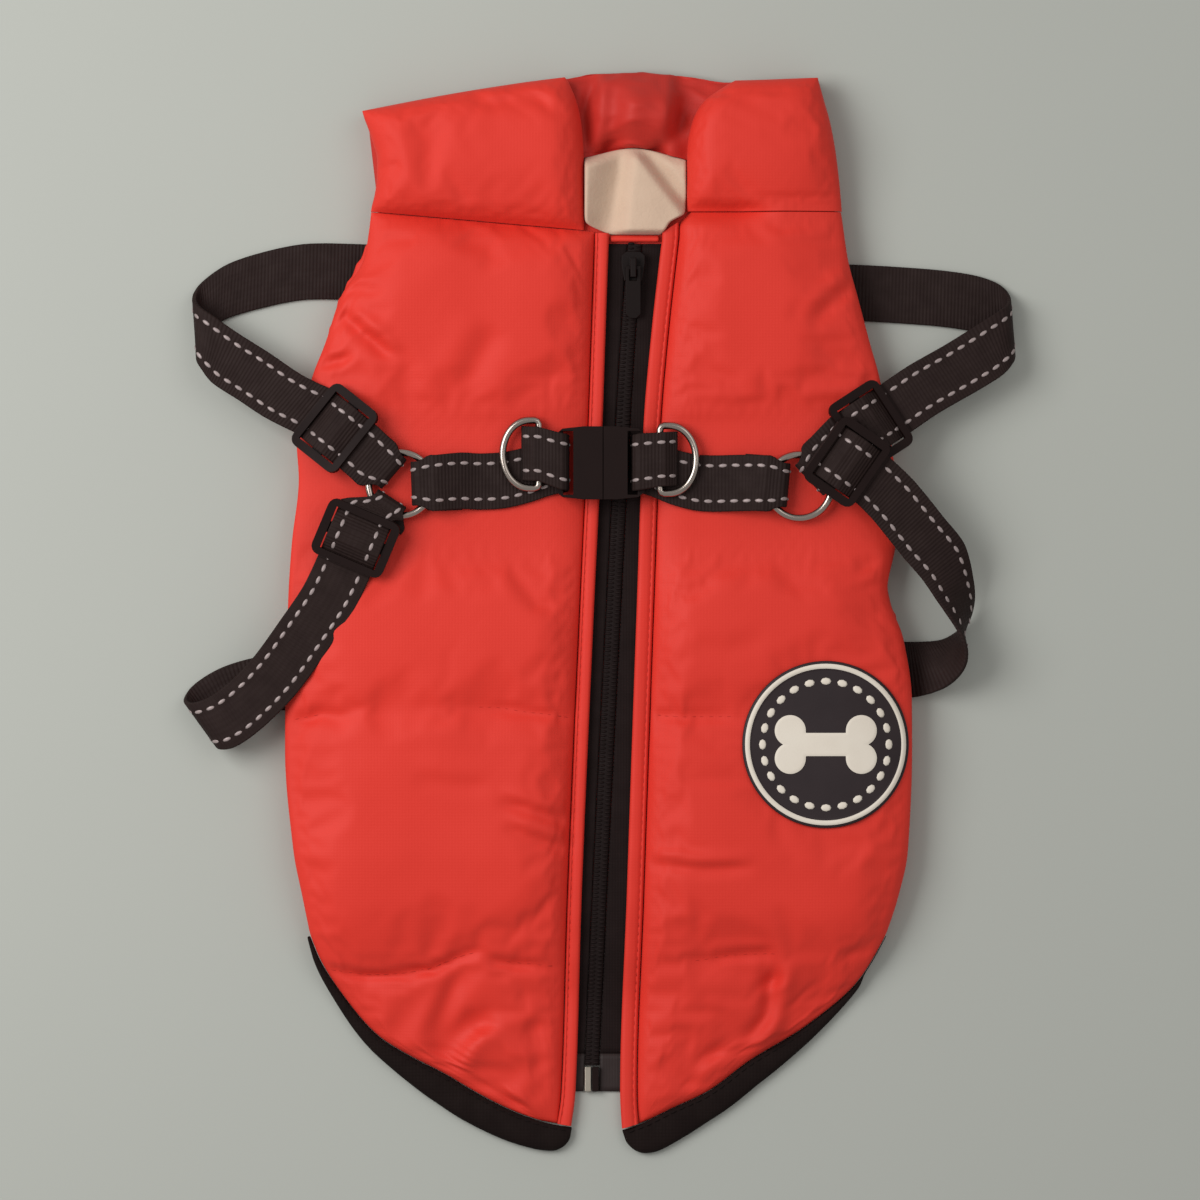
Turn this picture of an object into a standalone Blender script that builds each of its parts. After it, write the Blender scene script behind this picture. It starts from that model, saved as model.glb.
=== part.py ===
"""Padded dog coat with a back zip and a webbing harness, laid flat with the zip side up.

Frame: +X to the wearer's left shoulder side of the table, +Y towards the collar, +Z up.
The origin is on the table under the middle of the part. Sizes below are millimetres and are
turned to metres when a mesh is made.
"""
import math

import bmesh
import bpy
from mathutils import Matrix, Vector

# ---------------------------------------------------------------- driving dimensions, mm
MM = 0.001
GAP = 0.3                   # seam or contact gap between neighbouring pieces

BELLY_TOP = 8.0             # thickness of the lower, belly-side layer
BELLY_HEM_TOP = 4.0         # the same at its hem
BELLY_HEM_Y = -116.0
EDGE_WALL = 1.6             # cloth at the sewn edge of a padded panel
ROUND_IN = 13.0             # padded shoulder beside the placket
ROUND_OUT = 30.0            # padded shoulder at the side
PLACKET_LEFT = 5.0
PLACKET_RIGHT = 6.0
PLACKET_HEIGHT = 4.2
TAPE = 1.0                  # zip tape
COIL_WIDTH = 5.2
COIL_HEIGHT = 2.2
COIL_DRIFT = 2.3
ZIP_SLIDER_Y = 123.4
ZIP_HINGE_Y = 123.0         # axis of the pull tab
ZIP_HINGE_Z = 14.0
PULL_DROP = 8.2             # degrees that the pull tab lies down from level

WEB_WIDTH = 20.0            # harness webbing
WEB = 1.6
GROOVE_DEPTH = 1.9          # room for the webbing that crosses under the belly panel
GROOVE_SIDE = 0.5

STRAP_FLAT = 14.0           # height of the panels where the chest straps press them
RING_WIRE = 1.3             # wire radius of a junction ring
RING_RADIUS = 11.3
FOLD_SPREAD = 3.8           # distance from a fold over which the webbing gets its full width
RING_Z = STRAP_FLAT + GAP + WEB + GAP + RING_WIRE
D_WIRE = 1.3
D_HALF = 12.0               # half length of a D-ring's bar
D_LEG = 3.6                 # straight legs of a D-ring before its bow
D_BOW = 9.2
TAB_HALF = 9.6              # half width of a strap's folded-back end, drawn in by the D-ring

SLIDER_LENGTH = 21.0
SLIDER_WIDTH = 27.2
SLIDER_THICK = 2.6
SLIDER_BAR = 2.0            # half of the middle bar
SLIDER_END = 2.6            # end bar
WINDOW_HALF = 10.5

BUCKLE_MID = (0.5, 53.7)    # parting of the buckle, in plan
BUCKLE_WIDTH = 25.8
BUCKLE_BAR = 14.4           # from the parting to the bar that a chest strap turns round
BAR_BEND = 2.6              # bend radius of the webbing there, at its middle
BUCKLE_LOW = STRAP_FLAT + GAP
BUCKLE_HIGH = 20.7

BADGE_CENTRE = (80.3, -46.0)
BADGE_RADIUS = 29.6
BADGE_THICK = 0.9

# Side outline of the body: y, left x, right x
BODY_SIDES = (
    (163.0, -79.0, 84.3),
    (150.0, -80.2, 84.9),
    (139.0, -81.3, 86.5),
    (126.0, -83.5, 88.4),
    (113.0, -91.6, 91.8),
    (96.0, -97.3, 96.3),
    (85.0, -101.6, 99.4),
    (62.0, -107.4, 103.6),
    (48.0, -106.6, 105.2),
    (26.0, -109.0, 105.4),
    (9.0, -110.2, 102.4),
    (-9.0, -110.8, 108.2),
    (-30.0, -111.4, 111.1),
    (-48.0, -111.5, 111.2),
    (-84.0, -108.5, 109.7),
    (-101.0, -105.2, 106.1),
    (-114.0, -102.6, 101.9),
)
# Hem line of the tails where the binding starts: y, x, width of the binding
HEM_LEFT = (
    (-114.0, -102.6, 1.2),
    (-123.4, -98.7, 2.4),
    (-137.6, -89.5, 3.8),
    (-150.0, -78.5, 5.4),
    (-157.4, -66.7, 8.0),
    (-163.1, -55.4, 10.4),
    (-170.9, -42.2, 11.0),
    (-177.0, -29.8, 10.8),
    (-180.2, -20.6, 10.4),
    (-181.6, -14.6, 9.6),
    (-182.4, -9.6, 8.2),
)
HEM_RIGHT = (
    (-114.0, 101.9, 1.0),
    (-123.7, 96.6, 1.2),
    (-131.9, 90.9, 1.8),
    (-147.1, 72.8, 5.0),
    (-158.5, 54.0, 8.6),
    (-170.2, 38.0, 9.2),
    (-175.9, 25.6, 11.2),
    (-180.2, 17.0, 11.6),
    (-182.0, 12.6, 10.6),
    (-183.4, 8.2, 8.6),
)
# Edges of the two placket strips beside the zip: y, left strip x, right strip x
ZIP_EDGES = (
    (134.0, 3.7, 22.2),
    (100.0, 2.5, 18.4),
    (67.0, 1.4, 15.6),
    (0.0, -1.7, 13.1),
    (-101.0, -6.0, 9.6),
    (-170.0, -8.2, 7.3),
    (-184.0, -10.0, 8.0),
)
# Fullness of the zip-side panels: y at the side, padding height over the layer below
PANEL_ROWS = (
    (142.9, 2.6),
    (140.5, 5.5),
    (136.0, 8.0),
    (128.0, 9.2),
    (116.0, 9.5),
    (102.0, 9.0),
    (90.0, 8.0),
    (80.0, 7.3),
    (73.5, 6.5),
    (66.0, 5.7),
    (47.0, 5.7),
    (28.0, 5.7),
    (20.5, 6.5),
    (12.0, 7.8),
    (2.0, 8.8),
    (-12.0, 9.3),
    (-24.0, 8.8),
    (-30.0, 7.6),
    (-34.0, 6.6),
    (-38.0, 7.6),
    (-46.0, 8.9),
    (-60.0, 9.4),
    (-74.0, 9.4),
    (-85.0, 9.3),
    (-94.0, 9.1),
    (-106.0, 8.8),
    (-114.0, 8.2),
    (-119.0, 6.8),
    (-122.7, 5.2),
    (-127.0, 6.8),
    (-133.0, 8.0),
    (-141.0, 8.4),
    (-149.0, 8.2),
    (-156.0, 7.8),
    (-162.0, 7.2),
    (-167.5, 6.6),
    (-172.0, 6.0),
    (-175.6, 5.2),
    (-178.4, 4.2),
    (-180.3, 3.0),
)
# Shares of a panel's width where its surface has points, from the placket to the side
ACROSS = (0.0, 0.012, 0.04, 0.085, 0.15, 0.30, 0.50, 0.70, 0.81, 0.89, 0.945, 0.98, 1.0)
# Height of the table or the belly panel under the zip side: y, z
DECK_ROWS = ((-86.0, BELLY_TOP + GAP), (-106.0, 6.9), (-117.0, 5.0), (-122.0, 4.2), (-128.0, 2.4),
             (-136.0, 0.4), (-141.0, 0.0))

# Seam between collar and zip side: x, y
SEAM_LEFT = ((-1.6, 135.9), (-81.0, 142.9))
SEAM_RIGHT = ((31.0, 142.9), (86.0, 142.9))
# Seam between the far collar and the belly panel: x, y
NECK_SEAM = ((-84.0, 147.0), (-50.0, 152.0), (-25.0, 157.5), (-5.0, 162.0), (12.0, 165.4),
             (31.0, 161.2), (55.0, 155.0), (88.0, 148.0))
# Upper edge of the collar: x, y
COLLAR_TOP = ((-85.0, 178.6), (-50.8, 185.1), (-25.9, 189.0), (-12.0, 190.8), (0.0, 192.6),
              (14.0, 192.9), (31.6, 191.6), (46.0, 189.6), (78.0, 190.6))
# Collar wings: share of the height from seam to upper edge, inner x, outer x, padding height
WING_LEFT = (
    (0.00, -5.3, -81.0, 3.2),
    (0.06, -5.3, -80.6, 7.0),
    (0.16, -5.3, -79.7, 9.8),
    (0.32, -5.3, -78.9, 11.0),
    (0.50, -5.4, -78.8, 11.4),
    (0.68, -6.2, -80.4, 11.2),
    (0.82, -7.8, -82.0, 10.2),
    (0.92, -9.8, -83.3, 8.2),
    (0.98, -11.3, -83.9, 5.0),
    (1.00, -12.2, -84.1, 2.6),
)
WING_RIGHT = (
    (0.00, 31.4, 86.2, 3.2),
    (0.06, 31.3, 86.0, 7.0),
    (0.16, 31.2, 85.6, 9.8),
    (0.32, 31.2, 84.8, 11.0),
    (0.50, 31.5, 83.6, 11.4),
    (0.68, 33.4, 81.9, 11.2),
    (0.82, 37.2, 80.0, 10.2),
    (0.92, 42.4, 78.7, 8.2),
    (0.98, 46.6, 77.9, 5.0),
    (1.00, 48.4, 77.7, 2.6),
)
# Far side of the collar: share of the height, underside z, upper z
FAR_COLLAR = ((0.0, 0.0, 8.0), (0.25, 0.0, 8.0), (0.6, 0.0, 8.0), (0.85, 0.0, 8.0),
              (0.95, 0.9, 7.2), (1.0, 2.6, 5.4))
FAR_COLLAR_TOP = (-82.6, 76.4)   # its ends at the upper edge: left x, right x
# Belly panel: y, slope of the row, share of the neck curve, underside z, upper z
UPPER_STRAP_Y = 118.3
UPPER_STRAP_SLOPE = -0.0414
LOWER_STRAP_Y = -21.8
LOWER_STRAP_SLOPE = 0.0186
GROOVE_HALF = WEB_WIDTH / 2 + GROOVE_SIDE
NECK_Y = 163.3
BELLY_ROWS = (
    (NECK_Y, 0.0, 1.0, 0.0, 8.0),
    (150.0, 0.0, 0.6, 0.0, 8.0),
    (138.0, -0.02, 0.2, 0.0, 8.0),
    (UPPER_STRAP_Y + GROOVE_HALF + 0.6, UPPER_STRAP_SLOPE, 0.0, 0.0, 8.0),
    (UPPER_STRAP_Y + GROOVE_HALF, UPPER_STRAP_SLOPE, 0.0, GROOVE_DEPTH, 8.0),
    (UPPER_STRAP_Y - GROOVE_HALF, UPPER_STRAP_SLOPE, 0.0, GROOVE_DEPTH, 8.0),
    (UPPER_STRAP_Y - GROOVE_HALF - 0.6, UPPER_STRAP_SLOPE, 0.0, 0.0, 8.0),
    (96.0, -0.02, 0.0, 0.0, 8.0),
    (84.0, 0.0, 0.0, 0.0, 8.0),
    (66.0, 0.0, 0.0, 0.0, 8.0),
    (48.0, 0.0, 0.0, 0.0, 8.0),
    (28.0, 0.0, 0.0, 0.0, 8.0),
    (12.0, 0.0, 0.0, 0.0, 8.0),
    (LOWER_STRAP_Y + GROOVE_HALF + 0.6, LOWER_STRAP_SLOPE, 0.0, 0.0, 8.0),
    (LOWER_STRAP_Y + GROOVE_HALF, LOWER_STRAP_SLOPE, 0.0, GROOVE_DEPTH, 8.0),
    (LOWER_STRAP_Y - GROOVE_HALF, LOWER_STRAP_SLOPE, 0.0, GROOVE_DEPTH, 8.0),
    (LOWER_STRAP_Y - GROOVE_HALF - 0.6, LOWER_STRAP_SLOPE, 0.0, 0.0, 8.0),
    (-48.0, 0.0, 0.0, 0.0, 8.0),
    (-72.0, 0.0, 0.0, 0.0, 8.0),
    (-86.0, 0.0, 0.0, 0.0, 7.9),
    (-106.0, 0.0, 0.0, 0.0, 6.2),
    (BELLY_HEM_Y, 0.0, 0.0, 0.0, BELLY_HEM_TOP),
)
LEG_HOLES = {"left": (-66.0, 52.0), "right": (64.0, 52.0)}
LEG_HALF = (19.0, 28.0)     # half axes of the cut
LEG_BINDING = 3.2

# Junction rings and sliders in plan
RING_LEFT = (-70.3, 46.2)
RING_RIGHT = (71.0, 45.4)
# Webbing folded through a ring: heading in degrees, distance of the fold, length of its tail,
# widths gathered in the ring to the right and to the left of the heading
FOLD_UPPER_LEFT = (139.0, 4.6, 15.0, 8.0, 5.7)
FOLD_LOWER_LEFT = (237.0, 6.5, 15.0, 5.6, 6.3)
FOLD_UPPER_RIGHT = (43.0, 4.6, 17.0, 8.2, 6.6)
FOLD_CHEST_LEFT = (2.0, 4.6, 21.5, 7.8, 7.8)
FOLD_CHEST_RIGHT = (175.0, 4.6, 20.0, 7.8, 7.8)
# Slider: centre x, y, z of its underside, heading of the webbing in degrees, fall per mm
SLIDERS = {
    "upper_left": (-93.2, 65.7, 17.6, 141.5, 0.26),
    "lower_left": (-86.0, 27.2, 19.2, 247.0, 0.12),
    "upper_right": (95.9, 67.0, 16.9, 33.0, 0.24),
    "lower_right": (87.6, 54.0, 22.9, -34.8, 0.04),
}
# Free runs of the four harness loops, from the slider to the end under the belly panel:
# edge a x, y, z, edge b x, y, z
LOOP_UPPER_LEFT = (
    (-105.4, 85.0, 14.4, -118.4, 69.8, 14.2),
    (-116.6, 92.6, 13.4, -127.8, 76.0, 13.2),
    (-128.0, 99.8, 12.6, -136.8, 81.8, 12.6),
    (-137.2, 106.2, 12.2, -140.6, 86.4, 12.2),
    (-142.2, 109.6, 10.4, -142.2, 89.5, 10.4),
    (-143.9, 112.4, 6.6, -142.2, 92.4, 6.6),
    (-143.2, 115.6, 2.8, -141.0, 95.8, 2.8),
    (-140.4, 119.2, 1.0, -138.4, 99.4, 1.0),
    (-132.1, 124.8, 0.8, -133.5, 104.8, 0.8),
    (-119.6, 129.0, 0.8, -120.2, 109.0, 0.8),
    (-105.1, 131.9, 0.8, -105.6, 111.9, 0.8),
    (-90.2, 132.0, 0.8, -90.8, 112.0, 0.8),
    (-77.9, 131.5, 0.8, -78.6, 111.5, 0.8),
)
LOOP_UPPER_RIGHT = (
    (110.0, 88.4, 14.0, 120.8, 71.6, 13.8),
    (122.0, 95.2, 13.2, 133.4, 78.8, 13.0),
    (133.6, 102.4, 12.6, 143.0, 84.8, 12.6),
    (143.0, 108.4, 10.6, 146.4, 88.7, 10.6),
    (145.6, 111.4, 6.6, 147.3, 91.5, 6.6),
    (145.0, 114.6, 2.6, 146.7, 94.7, 2.6),
    (142.0, 117.8, 1.0, 143.4, 97.8, 1.0),
    (134.2, 120.6, 0.8, 133.6, 100.6, 0.8),
    (122.8, 122.4, 0.8, 122.2, 102.4, 0.8),
    (111.1, 123.4, 0.8, 110.4, 103.4, 0.8),
    (96.4, 124.3, 0.8, 95.8, 104.3, 0.8),
    (79.0, 125.0, 0.8, 78.4, 105.0, 0.8),
)
LOOP_LOWER_LEFT = (
    (-104.6, 10.2, 18.0, -86.6, 1.6, 18.2),
    (-112.6, -1.6, 17.4, -95.4, -11.8, 17.6),
    (-122.2, -14.8, 15.4, -106.8, -27.6, 15.4),
    (-131.0, -24.0, 13.4, -118.8, -39.8, 13.4),
    (-138.8, -29.6, 12.4, -128.2, -46.6, 12.4),
    (-144.8, -31.4, 10.6, -133.4, -47.8, 10.6),
    (-147.2, -30.4, 6.6, -135.4, -46.6, 6.6),
    (-146.4, -27.6, 2.6, -134.6, -43.8, 2.6),
    (-143.0, -24.0, 1.0, -132.4, -41.0, 1.0),
    (-134.6, -19.0, 0.8, -127.0, -37.5, 0.8),
    (-122.8, -15.4, 0.8, -119.6, -35.1, 0.8),
    (-109.7, -14.0, 0.8, -109.4, -34.0, 0.8),
    (-97.2, -13.8, 0.8, -97.0, -33.8, 0.8),
)
LOOP_LOWER_RIGHT = (
    (97.2, 33.2, 20.6, 111.4, 47.4, 21.0),
    (107.4, 20.6, 18.4, 122.4, 34.0, 18.2),
    (114.4, 12.6, 18.0, 129.6, 24.8, 14.0),
    (119.6, 5.2, 18.6, 132.6, 13.2, 9.0),
    (124.0, -0.8, 19.2, 133.2, 4.6, 4.0),
    (128.0, -7.0, 19.4, 131.0, -2.8, 1.4),
    (130.2, -13.2, 18.2, 126.4, -7.2, 1.0),
    (129.0, -19.6, 15.6, 121.6, -9.3, 0.8),
    (123.4, -25.6, 10.4, 116.2, -9.7, 0.8),
    (114.6, -29.0, 3.6, 111.6, -9.8, 0.8),
    (107.0, -29.7, 0.8, 106.6, -9.8, 0.8),
    (88.0, -30.2, 0.8, 87.8, -10.2, 0.8),
)
# Chest straps along their middle line, from ring to buckle: x, y
CHEST_LEFT = ((-49.0, 47.4), (-42.0, 47.1), (-33.0, 47.7), (-24.0, 49.9), (-18.5, 51.8))
D_RING_LEFT = (-21.3, 56.8)
D_RING_RIGHT = (21.6, 54.9)
CHEST_RIGHT = ((50.0, 46.6), (40.0, 46.4), (33.0, 47.0), (25.0, 49.2), (19.5, 51.5))

RED = (0.72, 0.09, 0.06)
DARK_RED = (0.36, 0.05, 0.05)
BLACK = (0.03, 0.025, 0.025)
CREAM = (0.78, 0.66, 0.55)
STEEL = (0.75, 0.73, 0.70)
WHITE = (0.85, 0.82, 0.76)


# ---------------------------------------------------------------- meshes
def clear_scene():
    for obj in list(bpy.data.objects):
        bpy.data.objects.remove(obj, do_unlink=True)


def material(name, colour, roughness, metallic=0.0):
    mat = bpy.data.materials.get(name) or bpy.data.materials.new(name)
    mat.use_nodes = True
    shader = mat.node_tree.nodes["Principled BSDF"]
    shader.inputs["Base Color"].default_value = (*colour, 1.0)
    shader.inputs["Roughness"].default_value = roughness
    shader.inputs["Metallic"].default_value = metallic
    return mat


def red_cloth():
    return material("red_cloth", RED, 0.55)


def black_webbing():
    return material("black_webbing", BLACK, 0.8)


def black_plastic():
    return material("black_plastic", BLACK, 0.4)


def steel():
    return material("steel", STEEL, 0.22, 1.0)


def add_object(name, bm, mat, matrix=None, smooth=35.0):
    """Turn a bmesh in millimetres into an object in metres."""
    bmesh.ops.scale(bm, vec=(MM, MM, MM), verts=bm.verts)
    bmesh.ops.recalc_face_normals(bm, faces=bm.faces)
    mesh = bpy.data.meshes.new(name)
    bm.to_mesh(mesh)
    bm.free()
    mesh.shade_smooth()
    mesh.set_sharp_from_angle(angle=math.radians(smooth))
    mesh.materials.append(mat)
    obj = bpy.data.objects.new(name, mesh)
    bpy.context.scene.collection.objects.link(obj)
    if matrix is not None:
        obj.matrix_world = matrix
    return obj


def placed(origin, x_axis, y_axis, z_axis):
    """World matrix of a local frame whose origin is in millimetres."""
    rotation = Matrix((x_axis, y_axis, z_axis)).transposed().to_4x4()
    return Matrix.Translation(Vector(origin) * MM) @ rotation


def loft(name, sections, mat, strip_ends=False, **options):
    """Closed solid through sections that all have the same number of points.

    Where strip_ends is set, point i lies under or over point -1 - i and the ends are closed
    by strips between them, so they follow a bowed seam.
    """
    bm = bmesh.new()
    loops = [[bm.verts.new(point) for point in section] for section in sections]
    count = len(loops[0])
    for low, high in zip(loops, loops[1:]):
        for i in range(count):
            j = (i + 1) % count
            bm.faces.new((low[i], low[j], high[j], high[i]))
    for end in (loops[0], loops[-1]):
        if not strip_ends:
            bm.faces.new(end)
            continue
        for i in range(count // 2 - 1):
            bm.faces.new((end[i], end[i + 1], end[count - 2 - i], end[count - 1 - i]))
    return add_object(name, bm, mat, **options)


def tube_ring(name, path, radius, sides, mat, **options):
    """Round wire swept along a closed path."""
    bm = bmesh.new()
    count = len(path)
    loops = []
    for i, point in enumerate(path):
        tangent = (path[(i + 1) % count] - path[i - 1]).normalized()
        across = tangent.cross(Vector((0, 0, 1))).normalized()
        lift = across.cross(tangent)
        turn = (path[i] - path[i - 1]).angle(path[(i + 1) % count] - path[i]) / 2
        loops.append([
            bm.verts.new(point + across * (radius / math.cos(turn) * math.cos(a))
                         + lift * (radius * math.sin(a)))
            for a in (math.tau * k / sides for k in range(sides))])
    for i in range(count):
        low, high = loops[i], loops[(i + 1) % count]
        for k in range(sides):
            j = (k + 1) % sides
            bm.faces.new((low[k], low[j], high[j], high[k]))
    return add_object(name, bm, mat, **options)


def prism(bm, outline, low, high):
    """Add an upright block with the given outline to a bmesh."""
    bottom = [bm.verts.new((x, y, low)) for x, y in outline]
    top = [bm.verts.new((x, y, high)) for x, y in outline]
    count = len(outline)
    for i in range(count):
        j = (i + 1) % count
        bm.faces.new((bottom[i], bottom[j], top[j], top[i]))
    bm.faces.new(bottom)
    bm.faces.new(top)


def rectangle(x0, x1, y0, y1):
    return ((x0, y0), (x1, y0), (x1, y1), (x0, y1))


def rounded_rectangle(length, width, radius, steps=4):
    points = []
    for sx, sy, start in ((1, 1, 0), (-1, 1, 90), (-1, -1, 180), (1, -1, 270)):
        for k in range(steps + 1):
            a = math.radians(start + 90 * k / steps)
            points.append((sx * (length / 2 - radius) + radius * math.cos(a),
                           sy * (width / 2 - radius) + radius * math.sin(a)))
    return points


def ellipse(centre, half_x, half_y, steps):
    return [(centre[0] + half_x * math.cos(math.tau * k / steps),
             centre[1] + half_y * math.sin(math.tau * k / steps)) for k in range(steps)]


def boolean(obj, operation, blocks, matrix=None):
    """Cut or join blocks (outline, low z, high z) with an object."""
    bm = bmesh.new()
    for outline, low, high in blocks:
        prism(bm, outline, low, high)
    tool = add_object(obj.name + "_" + operation.lower(), bm, obj.data.materials[0], matrix)
    tool.hide_render = True
    tool.display_type = "WIRE"
    modifier = obj.modifiers.new(operation.title(), "BOOLEAN")
    modifier.operation = operation
    modifier.solver = "EXACT"
    modifier.object = tool


# ---------------------------------------------------------------- curves and tables
def hermite(table, key, column):
    """Smooth value of a table's column at a key in its first column, without overshoot."""
    rows = sorted(table)
    if key <= rows[0][0]:
        return rows[0][column]
    if key >= rows[-1][0]:
        return rows[-1][column]
    i = max(k for k in range(len(rows) - 1) if rows[k][0] <= key)

    def slope(k):
        if k in (0, len(rows) - 1):
            k0, k1 = (0, 1) if k == 0 else (len(rows) - 2, len(rows) - 1)
            return (rows[k1][column] - rows[k0][column]) / (rows[k1][0] - rows[k0][0])
        before = (rows[k][column] - rows[k - 1][column]) / (rows[k][0] - rows[k - 1][0])
        after = (rows[k + 1][column] - rows[k][column]) / (rows[k + 1][0] - rows[k][0])
        return 0.0 if before * after <= 0 else 2 * before * after / (before + after)

    step = rows[i + 1][0] - rows[i][0]
    t = (key - rows[i][0]) / step
    a, b = rows[i][column], rows[i + 1][column]
    return ((1 + 2 * t) * (1 - t) ** 2 * a + t * (1 - t) ** 2 * step * slope(i)
            + t * t * (3 - 2 * t) * b + t * t * (t - 1) * step * slope(i + 1))


def catmull(rows, pieces):
    """Smooth rows through a table's rows, each stretch cut into the given pieces."""
    result = []
    for i in range(len(rows) - 1):
        p0 = rows[max(i - 1, 0)]
        p1, p2 = rows[i], rows[i + 1]
        p3 = rows[min(i + 2, len(rows) - 1)]
        for k in range(pieces):
            t = k / pieces
            result.append(tuple(
                0.5 * (2 * b + (c - a) * t + (2 * a - 5 * b + 4 * c - d) * t * t
                       + (3 * b - a - 3 * c + d) * t ** 3)
                for a, b, c, d in zip(p0, p1, p2, p3)))
    result.append(tuple(rows[-1]))
    return result


def side_x(y, side):
    """X of the body's outline, side 1 for left and 2 for right."""
    return hermite(BODY_SIDES, y, side)


def deck(y):
    """Height of what the zip side lies on."""
    return max(0.0, hermite(DECK_ROWS, y, 1))


def outer_x(y, side):
    """Sewn edge of a zip-side panel: the side seam, then the hem."""
    hem = HEM_LEFT if side == 1 else HEM_RIGHT
    return side_x(y, side) if y >= hem[0][0] else hermite(hem, y, 1)


def inner_x(y, side):
    """Edge of a zip-side panel beside its placket strip."""
    edge = hermite(ZIP_EDGES, y, side)
    return edge - PLACKET_LEFT - GAP if side == 1 else edge + PLACKET_RIGHT + GAP


def rounding(distance, reach):
    """Quarter-round rise of padding from its sewn edge."""
    u = min(max(distance / reach, 0.0), 1.0)
    return math.sqrt(1 - (1 - u) ** 2)


def panel_top(x, y, side):
    """Height of a zip-side panel's upper surface."""
    inside = abs(x - inner_x(y, side))
    outside = abs(outer_x(y, side) - x)
    full = hermite(PANEL_ROWS, y, 1)
    rise = (full - EDGE_WALL) * rounding(inside, ROUND_IN) * rounding(outside, ROUND_OUT)
    return deck(y) + EDGE_WALL + rise


# ---------------------------------------------------------------- the garment
def seam_drop(y, side):
    """How far the inner end of a panel's row lies below its outer end, near the collar."""
    if side == 2:
        return 0.0
    share = min(max((y - 96.0) / 46.9, 0.0), 1.0)
    return 7.0 * share * share


def zip_side_panel(name, side):
    sections = []
    for y, _ in PANEL_ROWS:
        x_out = outer_x(y, side)
        x_in = inner_x(y - seam_drop(y, side), side)
        if side == 2 and y > 139.0:
            x_in += (y - 139.0) * 1.1
        points = []
        for share in ACROSS:
            x = x_in + (x_out - x_in) * share
            y_here = y - seam_drop(y, side) * (1 - share)
            full = hermite(PANEL_ROWS, y, 1) - EDGE_WALL
            rise = full * rounding(abs(x - x_in), ROUND_IN) * rounding(abs(x_out - x), ROUND_OUT)
            points.append((x, y_here, deck(y_here) + EDGE_WALL + rise))
        floor_in = (points[0][0], points[0][1], deck(points[0][1]))
        floor_out = (points[-1][0], points[-1][1], deck(points[-1][1]))
        sections.append([floor_in, *points, floor_out])
    return loft(name, sections, red_cloth())


def zip_rows(high, low):
    """Heights y of the sections of what runs along the zip, the panels' own rows at the tails."""
    rows = [116.0, 94.0, 72.0, 50.0, 28.0, 6.0, -16.0, -38.0, -60.0]
    rows += [y for y, _ in PANEL_ROWS if y < -80.0]
    return [high, *(y for y in rows if low + 1.0 < y < high - 1.0), low]


def placket(name, side):
    width = PLACKET_LEFT if side == 1 else PLACKET_RIGHT
    sign = -1 if side == 1 else 1
    ends = (135.4, -180.6) if side == 1 else (138.4, -181.6)
    sections = []
    for y in zip_rows(*ends):
        edge = hermite(ZIP_EDGES, y, side)
        low = deck(y) + TAPE + GAP
        high = deck(y) + PLACKET_HEIGHT
        profile = ((0.0, low), (0.06, high - 0.9), (0.25, high), (0.75, high),
                   (0.94, high - 0.9), (1.0, low))
        sections.append([(edge + sign * width * u, y, z) for u, z in profile])
    return loft(name, sections, red_cloth())


def belly_outline(left, right, low, high):
    """Points x, z of the padded lower layer's cross-section, from its left edge round."""
    height = high - low
    shares = (0.0, 0.14, 0.30, 0.43, 0.50, 0.57, 0.70, 0.86, 1.0)
    under = [(left + 5 + (right - left - 10) * s, low) for s in shares]
    upper = [(right - 0.6 + (left - right + 1.2) * s, high) for s in shares]
    return [(left + 1.5, low + 0.3 * height), *under, (right - 1.5, low + 0.3 * height),
            (right, low + 0.75 * height), *upper, (left, low + 0.75 * height)]


def belly_row(y, slope, neck, low, high):
    """One closed cross-section of the belly panel, bowed to the neck seam at its top."""
    outline = belly_outline(side_x(y, 1), side_x(y, 2), low, high)
    return [(x, y + slope * x + neck * (hermite(NECK_SEAM, x, 1) - NECK_Y), z) for x, z in outline]


def belly_panel():
    panel = loft("belly_panel", [belly_row(*row) for row in BELLY_ROWS], red_cloth(), strip_ends=True)
    holes = [(ellipse(centre, *LEG_HALF, 24), -5.0, BELLY_TOP + 5) for centre in LEG_HOLES.values()]
    boolean(panel, "DIFFERENCE", holes)


def leg_binding(name, centre):
    """Rounded band around a leg hole, inside the cut edge of the belly panel."""
    steps = 24
    outer = (LEG_HALF[0] - GAP, LEG_HALF[1] - GAP)
    profile = ((0.0, 0.0), (LEG_BINDING - 0.8, 0.0), (LEG_BINDING, 1.2),
               (LEG_BINDING, 5.6), (LEG_BINDING - 1.2, 7.4), (0.0, 7.4))
    bm = bmesh.new()
    loops = []
    for inset, z in profile:
        rim = ellipse(centre, outer[0] - inset, outer[1] - inset, steps)
        loops.append([bm.verts.new((x, y, z)) for x, y in rim])
    for low, high in zip(loops, [*loops[1:], loops[0]]):
        for i in range(steps):
            j = (i + 1) % steps
            bm.faces.new((low[i], low[j], high[j], high[i]))
    return add_object(name, bm, material("black_binding", BLACK, 0.75))


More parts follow.
